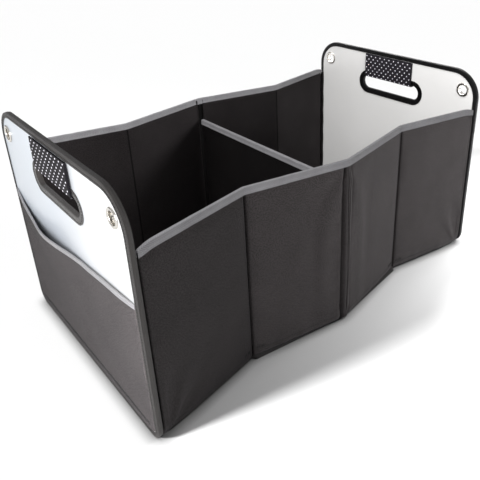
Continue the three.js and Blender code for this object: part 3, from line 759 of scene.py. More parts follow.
    # soft hanging folds that start at the mouth and die out below
    folds = (0.0006 * np.sin(U * 8.5 + 0.7 + 0.8 * noise2(U * 2, V_ * 1.5, sd, 2)) + 0.0003 * np.sin(U * 17 + 2.1)) * V_ ** 1.6 * env * (1 - 0.75 * V_ ** 4)
    dimple = 0.0009 * noise2(U * 5 + 3, V_ * 3.5, sd + 1, 3) * np.sqrt(env) * smooth01(V_ * 6) * (1 - 0.80 * V_ ** 4)
    edge_roll = 0.0006 * (1 - np.exp(-((1 - np.abs(U)) / 0.02)))
    hem = 0.0005 * np.exp(-((Z - low - 0.0075) / 0.0016) ** 2) * -1.0 + 0.0004 * np.exp(-((Z - low - 0.004) / 0.0022) ** 2)
    X = 0.2716 + edge_roll + bow + np.maximum(folds + dimple, -0.0004 - bow * 0.8) + hem
    side_pucker = 0.0006 * np.exp(-((1 - np.abs(U)) / 0.05)) * np.sin(Z / 0.0042 + 3 * noise2(U * 4, Z / 0.02, sd + 3, 1)) * smooth01(V_ * 5)
    X = np.maximum(X + side_pucker, 0.2714)
    P[..., 0], P[..., 1], P[..., 2] = s * X, Y, Z
    UV[..., 0], UV[..., 1] = Y, Z
    b = Build()
    b.grid(P, UV, 0, flip=(s < 0))
    Ncl = np.zeros_like(P); Ncl[..., 0] = s
    for zz in (0.0072, 0.0105):   # two rows of hem stitching
        row = [np.array([s * np.interp(low + zz, Z[i], X[i]), np.interp(low + zz, Z[i], Y[i]), low + zz]) for i in range(4, nu - 4)]
        stitch(b, row, np.tile([s, 0, 0], (len(row), 1)), 1, lift=0.0001)
    ob = b.make(f"{side}_pocket_cloth", [MAT["pocket"], MAT["thread_dark"]])
    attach(ob, body)
    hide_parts(f"{side}_pocket")
    thicken(ob, 0.0007, -1.0)
    # mouth tape: a channel folded over the pocket's free edge
    prof, along = channel(0.0010, 0.0052, 0.0004, ridge=0.00010, round_=0.0008, legs=6)
    Pm = np.zeros((nu, len(prof), 3))
    UVm = np.zeros((nu, len(prof), 2))
    edge = np.stack([X[:, -1] - 0.00035, Y[:, -1], Z[:, -1]], -1)
    below = np.stack([X[:, -6] - 0.00035, Y[:, -6], Z[:, -6]], -1)
    Lm = np.r_[0, np.cumsum(np.linalg.norm(np.diff(edge, axis=0), axis=1))]
    path_st, n_st = [], []
    for i in range(nu):
        down = below[i] - edge[i]
        down /= np.linalg.norm(down)
        tan = edge[min(i + 1, nu - 1)] - edge[max(i - 1, 0)]
        tan /= np.linalg.norm(tan)
        nrm_ = np.cross(tan, -down)
        nrm_ *= np.sign(nrm_[0])
        for k in range(len(prof)):
            p = edge[i] - down * 0.0006 + nrm_ * prof[k, 0] + down * prof[k, 1]
            p[0] = max(p[0], 0.27135 + 0.00002 * k)
            Pm[i, k] = (s * p[0], p[1], p[2])
            UVm[i, k] = (Lm[i], along[k])
        q = edge[i] + nrm_ * 0.0010 + down * 0.0034
        path_st.append((s * q[0], q[1], q[2]))
        n_st.append((s * nrm_[0], nrm_[1], nrm_[2]))
    b = Build()
    b.grid(Pm, UVm, 0, flip=(s > 0), close_v=True)
    nC = len(prof)
    b.poly(range(nC - 1, -1, -1) if s > 0 else range(nC))
    last = (nu - 1) * nC
    b.poly(range(last, last + nC) if s > 0 else range(last + nC - 1, last - 1, -1))
    stitch(b, path_st, n_st, 1)
    ob = b.make(f"{side}_pocket_mouth_tape", [MAT["grey"], MAT["thread_grey"]], sharp=50)
    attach(ob, body)
    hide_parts(f"{side}_pocket_binding")


# -------------------------------------------------------------------- walls
def place(sy_, sx_, hinge, S, T, Z):
    """Wall coordinates to the row frame. hinge: 'mid' or 'corner'. S from the hinge line to the fold, T outward from the inner plane."""
    hx = (M_X if hinge == "mid" else C_X) * sx_
    d = sx_ if hinge == "mid" else -sx_
    along = np.array([d * math.cos(ANG), -sy_ * math.sin(ANG)])
    out = np.array([d * math.sin(ANG), sy_ * math.cos(ANG)])
    X = hx + along[0] * S + out[0] * T
    Y = sy_ * M_Y + along[1] * S + out[1] * T
    return np.stack([X, Y, Z + 0 * X], -1)


def wall_name(sy_, sx_, hinge):
    k = {(-1, "corner"): 1, (-1, "mid"): 2, (1, "mid"): 3, (1, "corner"): 4}[(sx_, hinge)]
    return ("near" if sy_ < 0 else "far") + f"_wall_{k}"


for sy_ in (-1, 1):
    for sx_ in (-1, 1):
        for hinge in ("mid", "corner"):
            name = wall_name(sy_, sx_, hinge)
            seed = 100 + 10 * (sy_ > 0) + 4 * (sx_ > 0) + 2 * (hinge == "mid")
            # ---- outer face, with its foot rolled under
            corner = hinge == "corner"
            s0 = -0.0062 if corner else 0.0009
            S = np.r_[np.linspace(s0, s0 + 0.0081, 14), np.linspace(s0 + 0.0105, RUN - 0.012, 46), np.linspace(RUN - 0.010, RUN, 16)]
            zf = WALL_FOOT - 0.0012
            zrow = np.r_[np.linspace(zf + 0.0045, zf + 0.034, 18), np.linspace(zf + 0.038, WALL_TOP - 0.0035, 62)]
            SS, ZZ = np.meshgrid(S, zrow, indexing="ij")
            zr = (ZZ - zf) / (WALL_TOP - zf)
            d0 = SS - s0
            gf = RUN - SS
            Re = 0.0014 if corner else (0.0072 if sx_ < 0 else 0.0085)
            deep = 0.0016 if corner else (0.0046 if sx_ < 0 else 0.0028)
            turn_in = np.where(d0 < Re, 1 - np.sqrt(np.clip(1 - ((Re - d0) / Re) ** 2, 0, 1)), 0)
            T_ = np.full_like(SS, 0.0053)
            # the cloth stands a little off the board between its sewn edges
            T_ = T_ + 0.0006 * np.sin(np.clip(SS / RUN, 0, 1) * math.pi) ** 0.8 * np.sin(np.clip(zr, 0, 1) * math.pi) ** 0.6
            T_ = T_ - np.exp(-(d0 / (0.006 if corner else 0.014)) ** 2) * (0.0003 if corner else 0.0007)
            T_ = T_ + 0.00085 * noise2(SS / 0.055 + 2.2, ZZ / 0.085, seed, 3, 0.45) * smooth01(gf / 0.012) * smooth01(d0 / 0.008)
            rip = np.sin(ZZ / 0.0042 + 2.6 * noise2(SS / 0.03, ZZ / 0.03, seed + 1, 2)) * np.exp(-(d0 / 0.016) ** 2)
            T_ = T_ + rip * (0.00012 if corner else 0.00030) * smooth01(d0 / 0.003)
            T_ = T_ + 0.00028 * np.sin(SS / 0.0042 + 2.5 * noise2(SS / 0.025, ZZ / 0.03, seed + 5, 2)) * np.exp(-((ZZ - zf) / 0.016) ** 2)
            if corner:
                q1, q2 = np.maximum(SS, 0) / 0.055, (ZZ - zf) / 0.085
                rad = np.sqrt(q1 ** 2 + q2 ** 2)
                th = np.arctan2(q2, q1 + 1e-6)
                T_ = T_ + 0.0011 * np.sin(th * 8 + 0.6) * np.exp(-((rad - 0.45) / 0.5) ** 2) * smooth01(rad * 2.5)
            else:
                q1, q2 = SS / 0.06, (WALL_BIND_LOW - ZZ) / 0.085
                rad = np.sqrt(q1 ** 2 + np.maximum(q2, 0) ** 2)
                th = np.arctan2(np.maximum(q2, 0), q1 + 1e-6)
                T_ = T_ + 0.0010 * np.sin(th * 6 + 1.1) * np.exp(-((rad - 0.45) / 0.5) ** 2) * smooth01(rad * 2.5)
                # long soft fold that runs down beside the ridge
                T_ = T_ + 0.0011 * np.exp(-((SS - 0.026 - 0.004 * np.sin(ZZ / 0.05)) / 0.010) ** 2) * np.sin(np.clip(zr * 1.08, 0, 1) * math.pi) ** 0.7
                T_ = T_ - 0.0007 * np.exp(-((SS - 0.045) / 0.012) ** 2) * np.sin(np.clip(zr, 0, 1) * math.pi)
            # never below the board it covers
            T_ = np.maximum(T_, 0.0047)
            # the tape holds it flat along the top, the fold seam holds it in a groove
            kt = smooth01((ZZ - (WALL_TOP - 0.022)) / 0.012)
            T_ = T_ * (1 - kt) + 0.0047 * kt
            kf = np.exp(-(gf / 0.0035) ** 2)
            T_ = T_ * (1 - kf) + 0.0052 * kf
            T_ = T_ - 0.0021 * np.exp(-(gf / 0.0012) ** 2) - 0.0003 * np.exp(-(gf / 0.007) ** 2)
            T_ = T_ - deep * turn_in
            # the foot is drawn in round the end panel's rounded lower corner
            curl = np.zeros_like(SS)
            if corner:
                hz = np.clip(R_BOT - ZZ, 0, R_BOT)
                arc_in = R_BOT - np.sqrt(np.maximum(R_BOT ** 2 - hz ** 2, 0))
                curl = arc_in * 0.92 * np.exp(-(np.maximum(SS, -0.0062) + 0.0062) / 0.050)
            T_ = T_ - curl
            ZP = ZZ
            if corner:
                qd = np.clip((0.012 - SS) / 0.0182, 0, 1)
                ZP = ZZ - (0.0046 * qd ** 1.3) * smooth01((ZZ - (WALL_TOP - 0.034)) / 0.028)
                T_ = T_ - 0.0004 * smooth01(qd * 2) * kt
            P = place(sy_, sx_, hinge, SS, T_, ZP)
            T0 = T_[:, 0]
            rf = 0.0024
            rows = [place(sy_, sx_, hinge, S, T0 - 0.0046, np.full_like(S, zf + 0.0030)),
                    place(sy_, sx_, hinge, S, T0 - 0.0040, np.full_like(S, zf + 0.0008))] + \
                   [place(sy_, sx_, hinge, S, T0 - rf * (1 - math.sin(a)), np.full_like(S, zf + 0.0003 + 0.0042 * (1 - math.cos(a)))) for a in np.linspace(0.15, math.pi / 2, 7)[:-1]]
            R = np.stack(rows, 1)
            P = np.concatenate([R, P], 1)
            zuv = np.r_[-0.004, -0.002, np.linspace(0.0, 0.004, 6), zrow - zf]
            UV = np.stack(np.meshgrid(S, zuv, indexing="ij"), -1)
            UV[..., 0] += 0.3 * (seed % 7)
            flip = (sx_ * sy_ > 0) != corner
            b = Build()
            b.grid(P, UV, 0, flip=flip)
            outn = place(sy_, sx_, hinge, np.array([0.0]), np.array([1.0]), np.array([0.0]))[0] - place(sy_, sx_, hinge, np.array([0.0]), np.array([0.0]), np.array([0.0]))[0]
            nS = len(S)
            # seam lines: along the fold and along the foot
            def on(si, z):
                t_at = np.interp(z, zrow, T_[si])
                return place(sy_, sx_, hinge, np.array([S[si]]), np.array([t_at]), np.array([z]))[0]
            si = int(np.argmin(np.abs(S - (RUN - 0.0042))))
            line = [on(si, z) for z in np.linspace(zf + 0.006, WALL_BIND_LOW - 0.0005, 60)]
            stitch(b, line, np.tile(outn, (60, 1)), 1, r=0.0002, lift=0.00002)
            line = [on(k, zf + 0.0085) for k in range(8, nS - 4)]
            stitch(b, line, np.tile(outn, (len(line), 1)), 2, r=0.00036, lift=0.00008)
            if corner:
                si = int(np.argmin(np.abs(S + 0.0030)))
                line = [on(si, z) for z in np.linspace(zf + 0.012, WALL_BIND_LOW - 0.0005, 60)]
                stitch(b, line, np.tile(outn, (60, 1)), 1, r=0.0002, lift=0.00003)
                # bar tacks where the hem meets the fold
            for q in range(4):
                base_s, up = RUN - 0.0065 - 0.0030 * q, 0.0045
                si0, si1 = int(np.argmin(np.abs(S - base_s))), int(np.argmin(np.abs(S - base_s - 0.0012)))
                stitch(b, [on(si0, zf + 0.0100), on(si1, zf + 0.0100 + up)], np.tile(outn, (2, 1)), 2, length=0.0046, pitch=0.0043, r=0.00055, lift=0.00010)
            ob = b.make(f"{name}_outer_cloth", [MAT["wall_hem" if corner and sx_ > 0 else "wall"], MAT["thread_wall"], MAT["thread_dark"]])
            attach(ob, name)
            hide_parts(f"{name}_cover")
            thicken(ob, 0.0005, -1.0)
            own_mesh(ob)
            # ---- the board in the sleeve, its corners cut round
            bl0, bl1, bz0, bz1 = 0.0072, RUN - 0.0072, 0.0225 if corner else 0.0045, WALL_TOP - 0.0032
            rc_low = 0.012 if corner else 0.003
            ring_pts = []
            for (cs, cz, r_, a0) in ((bl1 - 0.003, bz0 + 0.003, 0.003, -90), (bl1 - 0.003, bz1 - 0.003, 0.003, 0), (bl0 + 0.003, bz1 - 0.003, 0.003, 90), (bl0 + rc_low, bz0 + rc_low, rc_low, 180)):
                for a in np.radians(np.linspace(a0, a0 + 90, 8)):
                    ring_pts.append((cs + r_ * math.cos(a), cz + r_ * math.sin(a)))
            ring_pts = np.array(ring_pts)
            bb = Build()
            lo_t = place(sy_, sx_, hinge, ring_pts[:, 0], np.full(len(ring_pts), 0.0018), ring_pts[:, 1])
            hi_t = place(sy_, sx_, hinge, ring_pts[:, 0], np.full(len(ring_pts), 0.0038), ring_pts[:, 1])
            PP = np.stack([lo_t, hi_t], 1)
            UVb = np.stack([np.repeat(ring_pts[:, :1], 2, 1), np.repeat(ring_pts[:, 1:], 2, 1)], -1)
            idb = bb.grid(PP, UVb, 0, flip=not flip, close_u=True)
            bb.poly(idb[::-1, 0] if not flip else idb[:, 0])
            bb.poly(idb[:, 1] if not flip else idb[::-1, 1])
            ob2 = bb.make(f"{name}_stiffener", [MAT["board"]], sharp=40)
            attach(ob2, name)
            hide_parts(f"{name}_board")

# ---- inner faces: one sheet over both quarter panels of a half, turning round the fold
for sy_ in (-1, 1):
    for sx_ in (-1, 1):
        tin = 0.00085
        s_i = (F_X - M_X - tin * math.sin(ANG)) / math.cos(ANG)
        Sa = np.r_[np.linspace(0.0012, 0.010, 6), np.linspace(0.014, s_i - 0.008, 24), np.linspace(s_i - 0.0065, s_i, 14)]
        zrow = np.linspace(WALL_FOOT + 0.0004, WALL_TOP - 0.0093, 60)
        parts_, us = [], []
        zn = (zrow - zrow[0]) / (zrow[-1] - zrow[0])
        for hinge, arr in (("mid", Sa), ("corner", Sa[::-1][1:])):
            lift_ = 0.013 * np.exp(-arr / 0.045) if hinge == "corner" else np.zeros_like(arr)
            ZZ = zrow[None, :] + lift_[:, None] * (1 - zn[None, :])
            SS = np.repeat(arr[:, None], len(zrow), 1)
            bulge = 0.0004 * noise2(SS / 0.04, ZZ / 0.05, 300 + 7 * sx_ + 3 * sy_ + (hinge == "mid"), 3) + 0.0002
            near_fold = np.exp(-((s_i - SS) / 0.004) ** 2)
            TT = tin - np.maximum(bulge, -0.0003) * (1 - near_fold) + 0.0005 * np.exp(-((s_i - SS) / 0.0007) ** 2)
            parts_.append(place(sy_, sx_, hinge, SS, TT, ZZ))
            us.append(arr if hinge == "mid" else 2 * s_i - arr)
        P = np.concatenate(parts_, 0)
        U_ = np.concatenate(us)
        UV = np.stack(np.meshgrid(U_, zrow, indexing="ij"), -1)
        b = Build()
        b.grid(P, UV, 0, flip=(sx_ * sy_ < 0))
        side_n = "near" if sy_ < 0 else "far"
        a_, c_ = (3, 4) if sx_ > 0 else (2, 1)
        ob = b.make(f"{side_n}_inner_cloth_{'right' if sx_ > 0 else 'left'}", [MAT["inner"]])
        thicken(ob, 0.0004, -1.0)
        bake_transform(ob)

# ---- top tapes
H_T = 0.0019
T_MID = 0.0034
TAPE_H = 0.0086
TAPE_TOP = WALL_TOP - 0.0014
for sy_ in (-1, 1):
    side_n = "near" if sy_ < 0 else "far"
    for sx_ in (-1, 1):
        sn = "right" if sx_ > 0 else "left"
        s_c = lambda t_: (F_X - M_X - t_ * math.sin(ANG)) / math.cos(ANG)
        prof, along = channel(H_T, TAPE_H, 0.0004, ridge=0.00016, round_=0.0011)
        half = RUN / 2

        def tape(label, stations, bodies, cap0=True, cap1=True, repl=(), u0=0.0):
            """stations: list of (hinge, s or None for the fold line, lift)."""
            nP, nC = len(stations), len(prof)
            P = np.zeros((nP, nC, 3))
            UV = np.zeros((nP, nC, 2))
            acc = u0
            for i, st in enumerate(stations):
                hinge, s_, mode = st[:3]
                wv = 0.00025 * noise2(np.array([(acc if False else i * 0.35)]), np.array([0.5 + sx_ + 3 * sy_]), 77, 2)[0]
                for k in range(nC):
                    x, d = prof[k]
                    tt = T_MID + x
                    z = TAPE_TOP - d + wv - (st[4] if len(st) > 4 else 0.0) * (1.0 if d < 0.004 else 0.75)
                    if mode == "fold":
                        ss = s_c(tt)
                        p = place(sy_, sx_, "mid", np.array([ss]), np.array([tt]), np.array([z]))[0]
                    elif mode == "zero":     # the mid line beside the divider, at x = 0
                        p = place(sy_, sx_, "mid", np.array([0.0]), np.array([tt]), np.array([z]))[0]
                        p = p + (np.array([0.0, p[1] + sy_ * 0.0004, z]) - p)
                    elif mode == "curl":
                        c = st[3]
                        pull = 0.0005 * smooth01(np.array([(c - 0.70) / 0.30]))[0]
                        tt2 = tt - math.copysign(pull, x) * (abs(x) / H_T)
                        p = place(sy_, sx_, hinge, np.array([s_]), np.array([tt2]), np.array([z]))[0]
                    else:
                        p = place(sy_, sx_, hinge, np.array([s_]), np.array([tt]), np.array([z]))[0]
                    P[i, k] = p
                if i:
                    acc += float(np.linalg.norm(P[i, 8] - P[i - 1, 8]))
                UV[i, :, 0] = acc
                UV[i, :, 1] = along
            b = Build()
            fl = (sx_ * sy_ < 0)
            b.grid(P, UV, 0, flip=fl, close_v=True)
            if cap0:
                b.poly(range(0, nC) if fl else range(nC - 1, -1, -1))
            if cap1:
                last = (nP - 1) * nC
                b.poly(range(last + nC - 1, last - 1, -1) if fl else range(last, last + nC))
            for kk, sg in ((2, 1), (nC - 6 - 3, -1)):
                path = P[:, kk]
                nr = np.zeros_like(path)
                for i in range(nP):
                    a_ = P[i, kk] - P[i, nC - 6 + (5 if sg > 0 else 0)]
                    nr[i] = a_ / max(np.linalg.norm(a_), 1e-9)
                stitch(b, path, nr, 1, lift=0.00008)
            ob = b.make(f"{side_n}_top_tape_{sn}_{label}", [MAT["grey"], MAT["thread_grey"]], sharp=50)
            if len(bodies) == 1:
                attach(ob, bodies[0])
            else:
                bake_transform(ob)
            for r_ in repl:
                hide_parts(r_)
            return acc
        k_mid, k_cor = (3, 4) if sx_ > 0 else (2, 1)
        b_mid, b_cor = f"{side_n}_wall_{k_mid}", f"{side_n}_wall_{k_cor}"
        st = [("mid", 0, "zero")] + [("mid", s_, "line") for s_ in np.r_[np.linspace(0.0016, 0.009, 9), np.linspace(0.012, half, 16)]]
        u1 = tape("mid", st, ("divider", b_mid), cap0=False, cap1=False, repl=(f"{b_mid}_top_binding",))
        st = [("mid", s_, "line") for s_ in np.r_[np.linspace(half, RUN - 0.010, 16), np.linspace(RUN - 0.0085, RUN - 0.0024, 8)]] + [("mid", 0, "fold")] + \
             [("corner", s_, "line") for s_ in np.r_[np.linspace(RUN - 0.0024, RUN - 0.0085, 8), np.linspace(RUN - 0.010, half, 16)]]
        u2 = tape("fold", st, (b_mid, b_cor), cap0=False, cap1=False, u0=u1)
        st = [("corner", s_, "line") for s_ in np.linspace(half, 0.014, 18)]
        for q in np.linspace(0.05, 1, 14):
            st.append(("corner", 0.012 - 0.0182 * q, "curl", q, 0.0036 * q ** 1.6))
        tape("corner", st, (b_cor,), cap0=False, cap1=True, repl=(f"{b_cor}_top_binding",), u0=u2)

# ---- corner strips: the wall cloth's allowance sewn to the end panel
for sy_ in (-1, 1):
    for sx_ in (-1, 1):
        zrow = np.linspace(WALL_FOOT + 0.010, WALL_TOP - 0.008, 50)
        q = np.linspace(0, 1, 9)
        Q, ZZ = np.meshgrid(q, zrow, indexing="ij")
        X = sx_ * (C_X + 0.0006 + (END_IN - 0.0002 - C_X - 0.0006) * Q)
        Y = sy_ * (M_Y + 0.0004 - 0.0012 * np.sin(Q * math.pi) + 0.0003 * np.sin(ZZ / 0.006 + 2 * Q))
        P = np.stack([X, Y, ZZ], -1)
        UV = np.stack([Q * 0.009, ZZ], -1)
        b = Build()
        b.grid(P, UV, 0, flip=(sx_ * sy_ < 0))
        side_n = "near" if sy_ < 0 else "far"
        ob = b.make(f"{side_n}_corner_strip_{'right' if sx_ > 0 else 'left'}", [MAT["lining"]])
        thicken(ob, 0.0006, 0.0)
        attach(ob, "right_end" if sx_ > 0 else "left_end")

# ---- mid ridge: the pinched seam over the divider's upright edge, gathered into soft upright folds
for sy_ in (-1, 1):
    side_n = "near" if sy_ < 0 else "far"
    lo_, hi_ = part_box(f"{side_n}_divider_seam")
    zt, zb = WALL_TOP - 0.0094, lo_[2]
    zrow = np.linspace(zb, zt, 110)
    nA = 61
    q = np.linspace(-1, 1, nA)
    P = np.zeros((len(zrow), nA, 3))
    UV = np.zeros((len(zrow), nA, 2))
    for i, z in enumerate(zrow):
        k = (z - zb) / (zt - zb)
        top_in, foot_in = smooth01((k - 0.90) / 0.10), 1 - smooth01(k / 0.10)
        w_ = 0.0074 * (1 - 0.42 * top_in) * (1 - 0.35 * foot_in)
        out_ = 0.0043 * (1 - 0.60 * top_in) * (1 - 0.25 * foot_in)
        lean = 0.0007 * math.sin(k * 5.0 + 0.6) + 0.0006 * noise2(np.array([k * 7.0]), np.array([0.3]), 5, 2)[0]
        c1 = -0.10 + 0.16 * math.sin(k * 3.1 + 0.5)
        c2 = 0.42 + 0.10 * math.sin(k * 4.3 + 2.0)
        dome = np.maximum(1 - np.abs(q) ** 2.4, 0) ** 0.62
        fold = 0.34 * np.exp(-((q - c1) / 0.10) ** 2) + 0.30 * np.exp(-((q - c2) / 0.09) ** 2) * smooth01(k * 2.2)
        ripple = 0.00022 * math.sin(z / 0.0031 + 1.4) * (0.35 + foot_in + top_in)
        x = q * w_ + lean * (1 - q ** 2)
        o = out_ * (dome - fold * dome) + ripple * dome - 0.0012
        P[i, :, 0], P[i, :, 1], P[i, :, 2] = x, sy_ * (M_Y + 0.0040 + o), z
        UV[i, :, 0], UV[i, :, 1] = q * 0.0085, z
    b = Build()
    b.grid(P, UV, 0, flip=(sy_ > 0))
    # a strip of lining closes the row between the two inner sheets; it is painted near-black, darker than the lining,
    # as shade in the gap
    qx = np.linspace(-1, 1, 13)
    QX, QZ = np.meshgrid(qx, np.linspace(WALL_FOOT, WALL_TOP - 0.004, 40), indexing="ij")
    PL = np.stack([QX * 0.0062, sy_ * (M_Y + 0.0012 + 0.0012 * (1 - QX ** 2)), QZ], -1)
    bl_ = Build()
    bl_.grid(PL, np.stack([QX * 0.0062, QZ], -1), 0, flip=(sy_ > 0))
    obl = bl_.make(f"{side_n}_mid_liner", [MAT["deep"]])
    thicken(obl, 0.0006, 0.0)
    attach(obl, "divider")
    # edge stitching that holds the pinch
    for jj in (11, nA - 12):
        stitch(b, P[2:-6, jj], np.array([[math.copysign(1.0, jj - 30) * 0.6, sy_ * 0.8, 0]] * (len(zrow) - 8)), 1, r=0.0002, lift=0.00004)
    ob = b.make(f"{side_n}_mid_ridge", [MAT["wall"], MAT["thread_wall"]])
    thicken(ob, 0.0006, -1.0)
    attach(ob, "divider")
    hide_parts(f"{side_n}_divider_seam")


# ------------------------------------------------------------- soft slabs
def slab(name, A, B, half_fn, place_fn, mats, body, repl, uvscale=1.0, stitches=None, edge=0.0016):
    """Closed soft slab over the grid A x B. half_fn(a, b) is half the thickness; its edge rounds off over 'edge'."""
    a = np.r_[A[0], A[0] + edge * 0.12, A[0] + edge * 0.45, np.linspace(A[0] + edge, A[1] - edge, A[2]), A[1] - edge * 0.45, A[1] - edge * 0.12, A[1]]
    c = np.r_[B[0], B[0] + edge * 0.12, B[0] + edge * 0.45, np.linspace(B[0] + edge, B[1] - edge, B[2]), B[1] - edge * 0.45, B[1] - edge * 0.12, B[1]]
    AA, BB = np.meshgrid(a, c, indexing="ij")
    da = np.minimum(AA - A[0], A[1] - AA)
    dc = np.minimum(BB - B[0], B[1] - BB)
    d = np.minimum(np.minimum(da, dc), edge) / edge
    rnd = np.sqrt(np.clip(1 - (1 - d) ** 2, 0, 1))
    b = Build()
    tops = []
    for sg in (1, -1):
        Hh = half_fn(AA, BB, sg) * (0.12 + 0.88 * rnd) * sg
        P = place_fn(AA, BB, Hh)
        tops.append(P)
        UV = np.stack([AA, BB], -1)
        idx = b.grid(P, UV, 0, flip=(sg < 0))
        if sg > 0:
            top_idx = idx
        else:
            low_idx = idx
    ring = lambda I: np.r_[I[:-1, 0], I[-1, :-1], I[::-1][:-1, -1], I[0, ::-1][:-1]]
    r1, r2 = ring(top_idx), ring(low_idx)
    n = len(r1)
    for i in range(n):
        j = (i + 1) % n
        b.f.append([int(r1[i]), int(r2[i]), int(r2[j]), int(r1[j])])
        b.m.append(0)
    if stitches:
        stitches(b, AA, BB, tops)
    ob = b.make(name, mats)
    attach(ob, body)
    for r_ in repl:
        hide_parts(r_)
    return ob


# divider: a flat board in a sewn black sleeve
dvx = (dv_hi[0] - dv_lo[0]) / 2
slab("divider_sleeve", (dv_lo[1] + 0.0002, dv_hi[1] - 0.0002, 90), (dv_lo[2], dv_hi[2], 60),
     lambda a, c, sg: dvx - 0.0003 + 0.00035 * noise2(a / 0.04, c / 0.05, 400 + sg, 3) - 0.0003 * np.exp(-((c - dv_lo[2] - 0.008) / 0.0015) ** 2),
     lambda a, c, h: np.stack([h, a, c], -1), [MAT["lining"], MAT["thread_dark"]], "divider", ["divider_cover"], edge=0.0018)
prof, along = channel((db_hi[0] - db_lo[0]) / 2 - 0.0001, 0.0072, 0.0004, ridge=0.00016, round_=0.0011)
ys = np.linspace(db_lo[1] + 0.0002, db_hi[1] - 0.0002, 70)
P = np.zeros((len(ys), len(prof), 3)); UV = np.zeros((len(ys), len(prof), 2))
for i, y in enumerate(ys):
    sag = -0.0010 * (1 - (y / ys[-1]) ** 2)
    P[i, :, 0], P[i, :, 1], P[i, :, 2] = prof[:, 0], y, db_hi[2] - prof[:, 1] + sag * 0.4
    UV[i, :, 0], UV[i, :, 1] = y, along
b = Build()
b.grid(P, UV, 0, close_v=True, flip=False)
nC = len(prof)
b.poly(range(nC - 1, -1, -1)); b.poly(range((len(ys) - 1) * nC, len(ys) * nC))
for kk, sg in ((2, 1), (nC - 9, -1)):
    stitch(b, P[:, kk], np.tile([sg, 0, 0], (len(ys), 1)), 1, lift=0.00008)
ob = b.make("divider_top_tape", [MAT["grey"], MAT["thread_grey"]], sharp=50)
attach(ob, "divider"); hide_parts("divider_binding")

# base: a sheet whose long edges run straight from corner to corner
bx, by = base_hi[0] - 0.0004, base_hi[1] - 0.0006
end_half = END_HALF - R_BOT
cut = by - end_half


FOLD_HALF = abs(F_Y) + 0.0035


def base_half(x):
    ax = np.abs(x)
    k = np.where(ax < F_X, np.clip((ax - 0.006) / (F_X - 0.006), 0, 1), np.clip((C_X - ax) / (C_X - F_X), 0, 1))
    edge = by + (FOLD_HALF - by) * k
    sc_ = np.maximum((C_X - ax) / math.cos(ANG), -0.0062)
    drawn = 0.92 * (R_BOT - math.sqrt(R_BOT ** 2 - (R_BOT - WALL_FOOT) ** 2))
    foot = M_Y + 0.0046 - np.maximum(sc_, 0) * math.sin(ANG) - drawn * np.exp(-(sc_ + 0.0062) / 0.050)
    return np.minimum(np.minimum(edge, np.where(ax > F_X, foot, 1.0)), end_half + np.maximum(0, bx - ax) * 1.0)


def wall_line(x):
    """|y| of the wall's foot, outer side, at x."""
    ax = np.abs(x)
    k = np.where(ax < F_X, (ax - M_X) / (F_X - M_X), (C_X - ax) / (C_X - F_X))
    return M_Y + 0.0052 + (F_Y + 0.0 - M_Y - 0.0052) * np.clip(k, 0, 1)


xs = np.linspace(-bx, bx, 181)
vs = np.linspace(-1, 1, 61)
XX, VV = np.meshgrid(xs, vs, indexing="ij")
HWd = base_half(XX)
YY = VV * HWd
wl = np.minimum(wall_line(XX) - 0.003, HWd)
rise = np.clip((HWd - np.abs(YY)) / np.maximum(HWd - wl, 0.0015), 0, 1)
gus = np.maximum(HWd - wl, 0)
TOP = base_hi[2] - 0.0004 + np.minimum(0.0045, gus * 0.35) * np.sin(np.clip(rise, 0, 1) * math.pi / 2) * (np.abs(YY) > wl) + \
    np.minimum(0.0045, gus * 0.35) * np.exp(-(np.maximum(wl - np.abs(YY), 0) / 0.006) ** 2) * (np.abs(YY) <= wl)
TOP = np.minimum(TOP, WALL_FOOT - 0.0001 + np.where(np.abs(YY) > wl + 0.0045, 0.0022, 0.0))
edge_r = np.minimum((HWd - np.abs(YY)) / 0.0012, 1)
TOP = 0.0008 + (TOP - 0.0008) * np.sqrt(np.clip(1 - (1 - edge_r) ** 2, 0, 1)) + 0.0002 * noise2(XX / 0.02, YY / 0.02, 901, 2)
b = Build()
UV = np.stack([XX, YY], -1)
i1 = b.grid(np.stack([XX, YY, TOP], -1), UV, 0)
i2 = b.grid(np.stack([XX, YY, np.full_like(XX, 0.0001)], -1), UV, 0, flip=True)
ring = lambda I: np.r_[I[:-1, 0], I[-1, :-1], I[::-1][:-1, -1], I[0, ::-1][:-1]]
r1, r2 = ring(i1), ring(i2)
for i in range(len(r1)):
    j = (i + 1) % len(r1)
    b.f.append([int(r1[i]), int(r2[i]), int(r2[j]), int(r1[j])]); b.m.append(0)
ob = b.make("base_cloth", [MAT["base"]], sharp=60)
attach(ob, "divider"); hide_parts("base_fabric")
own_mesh(ob)

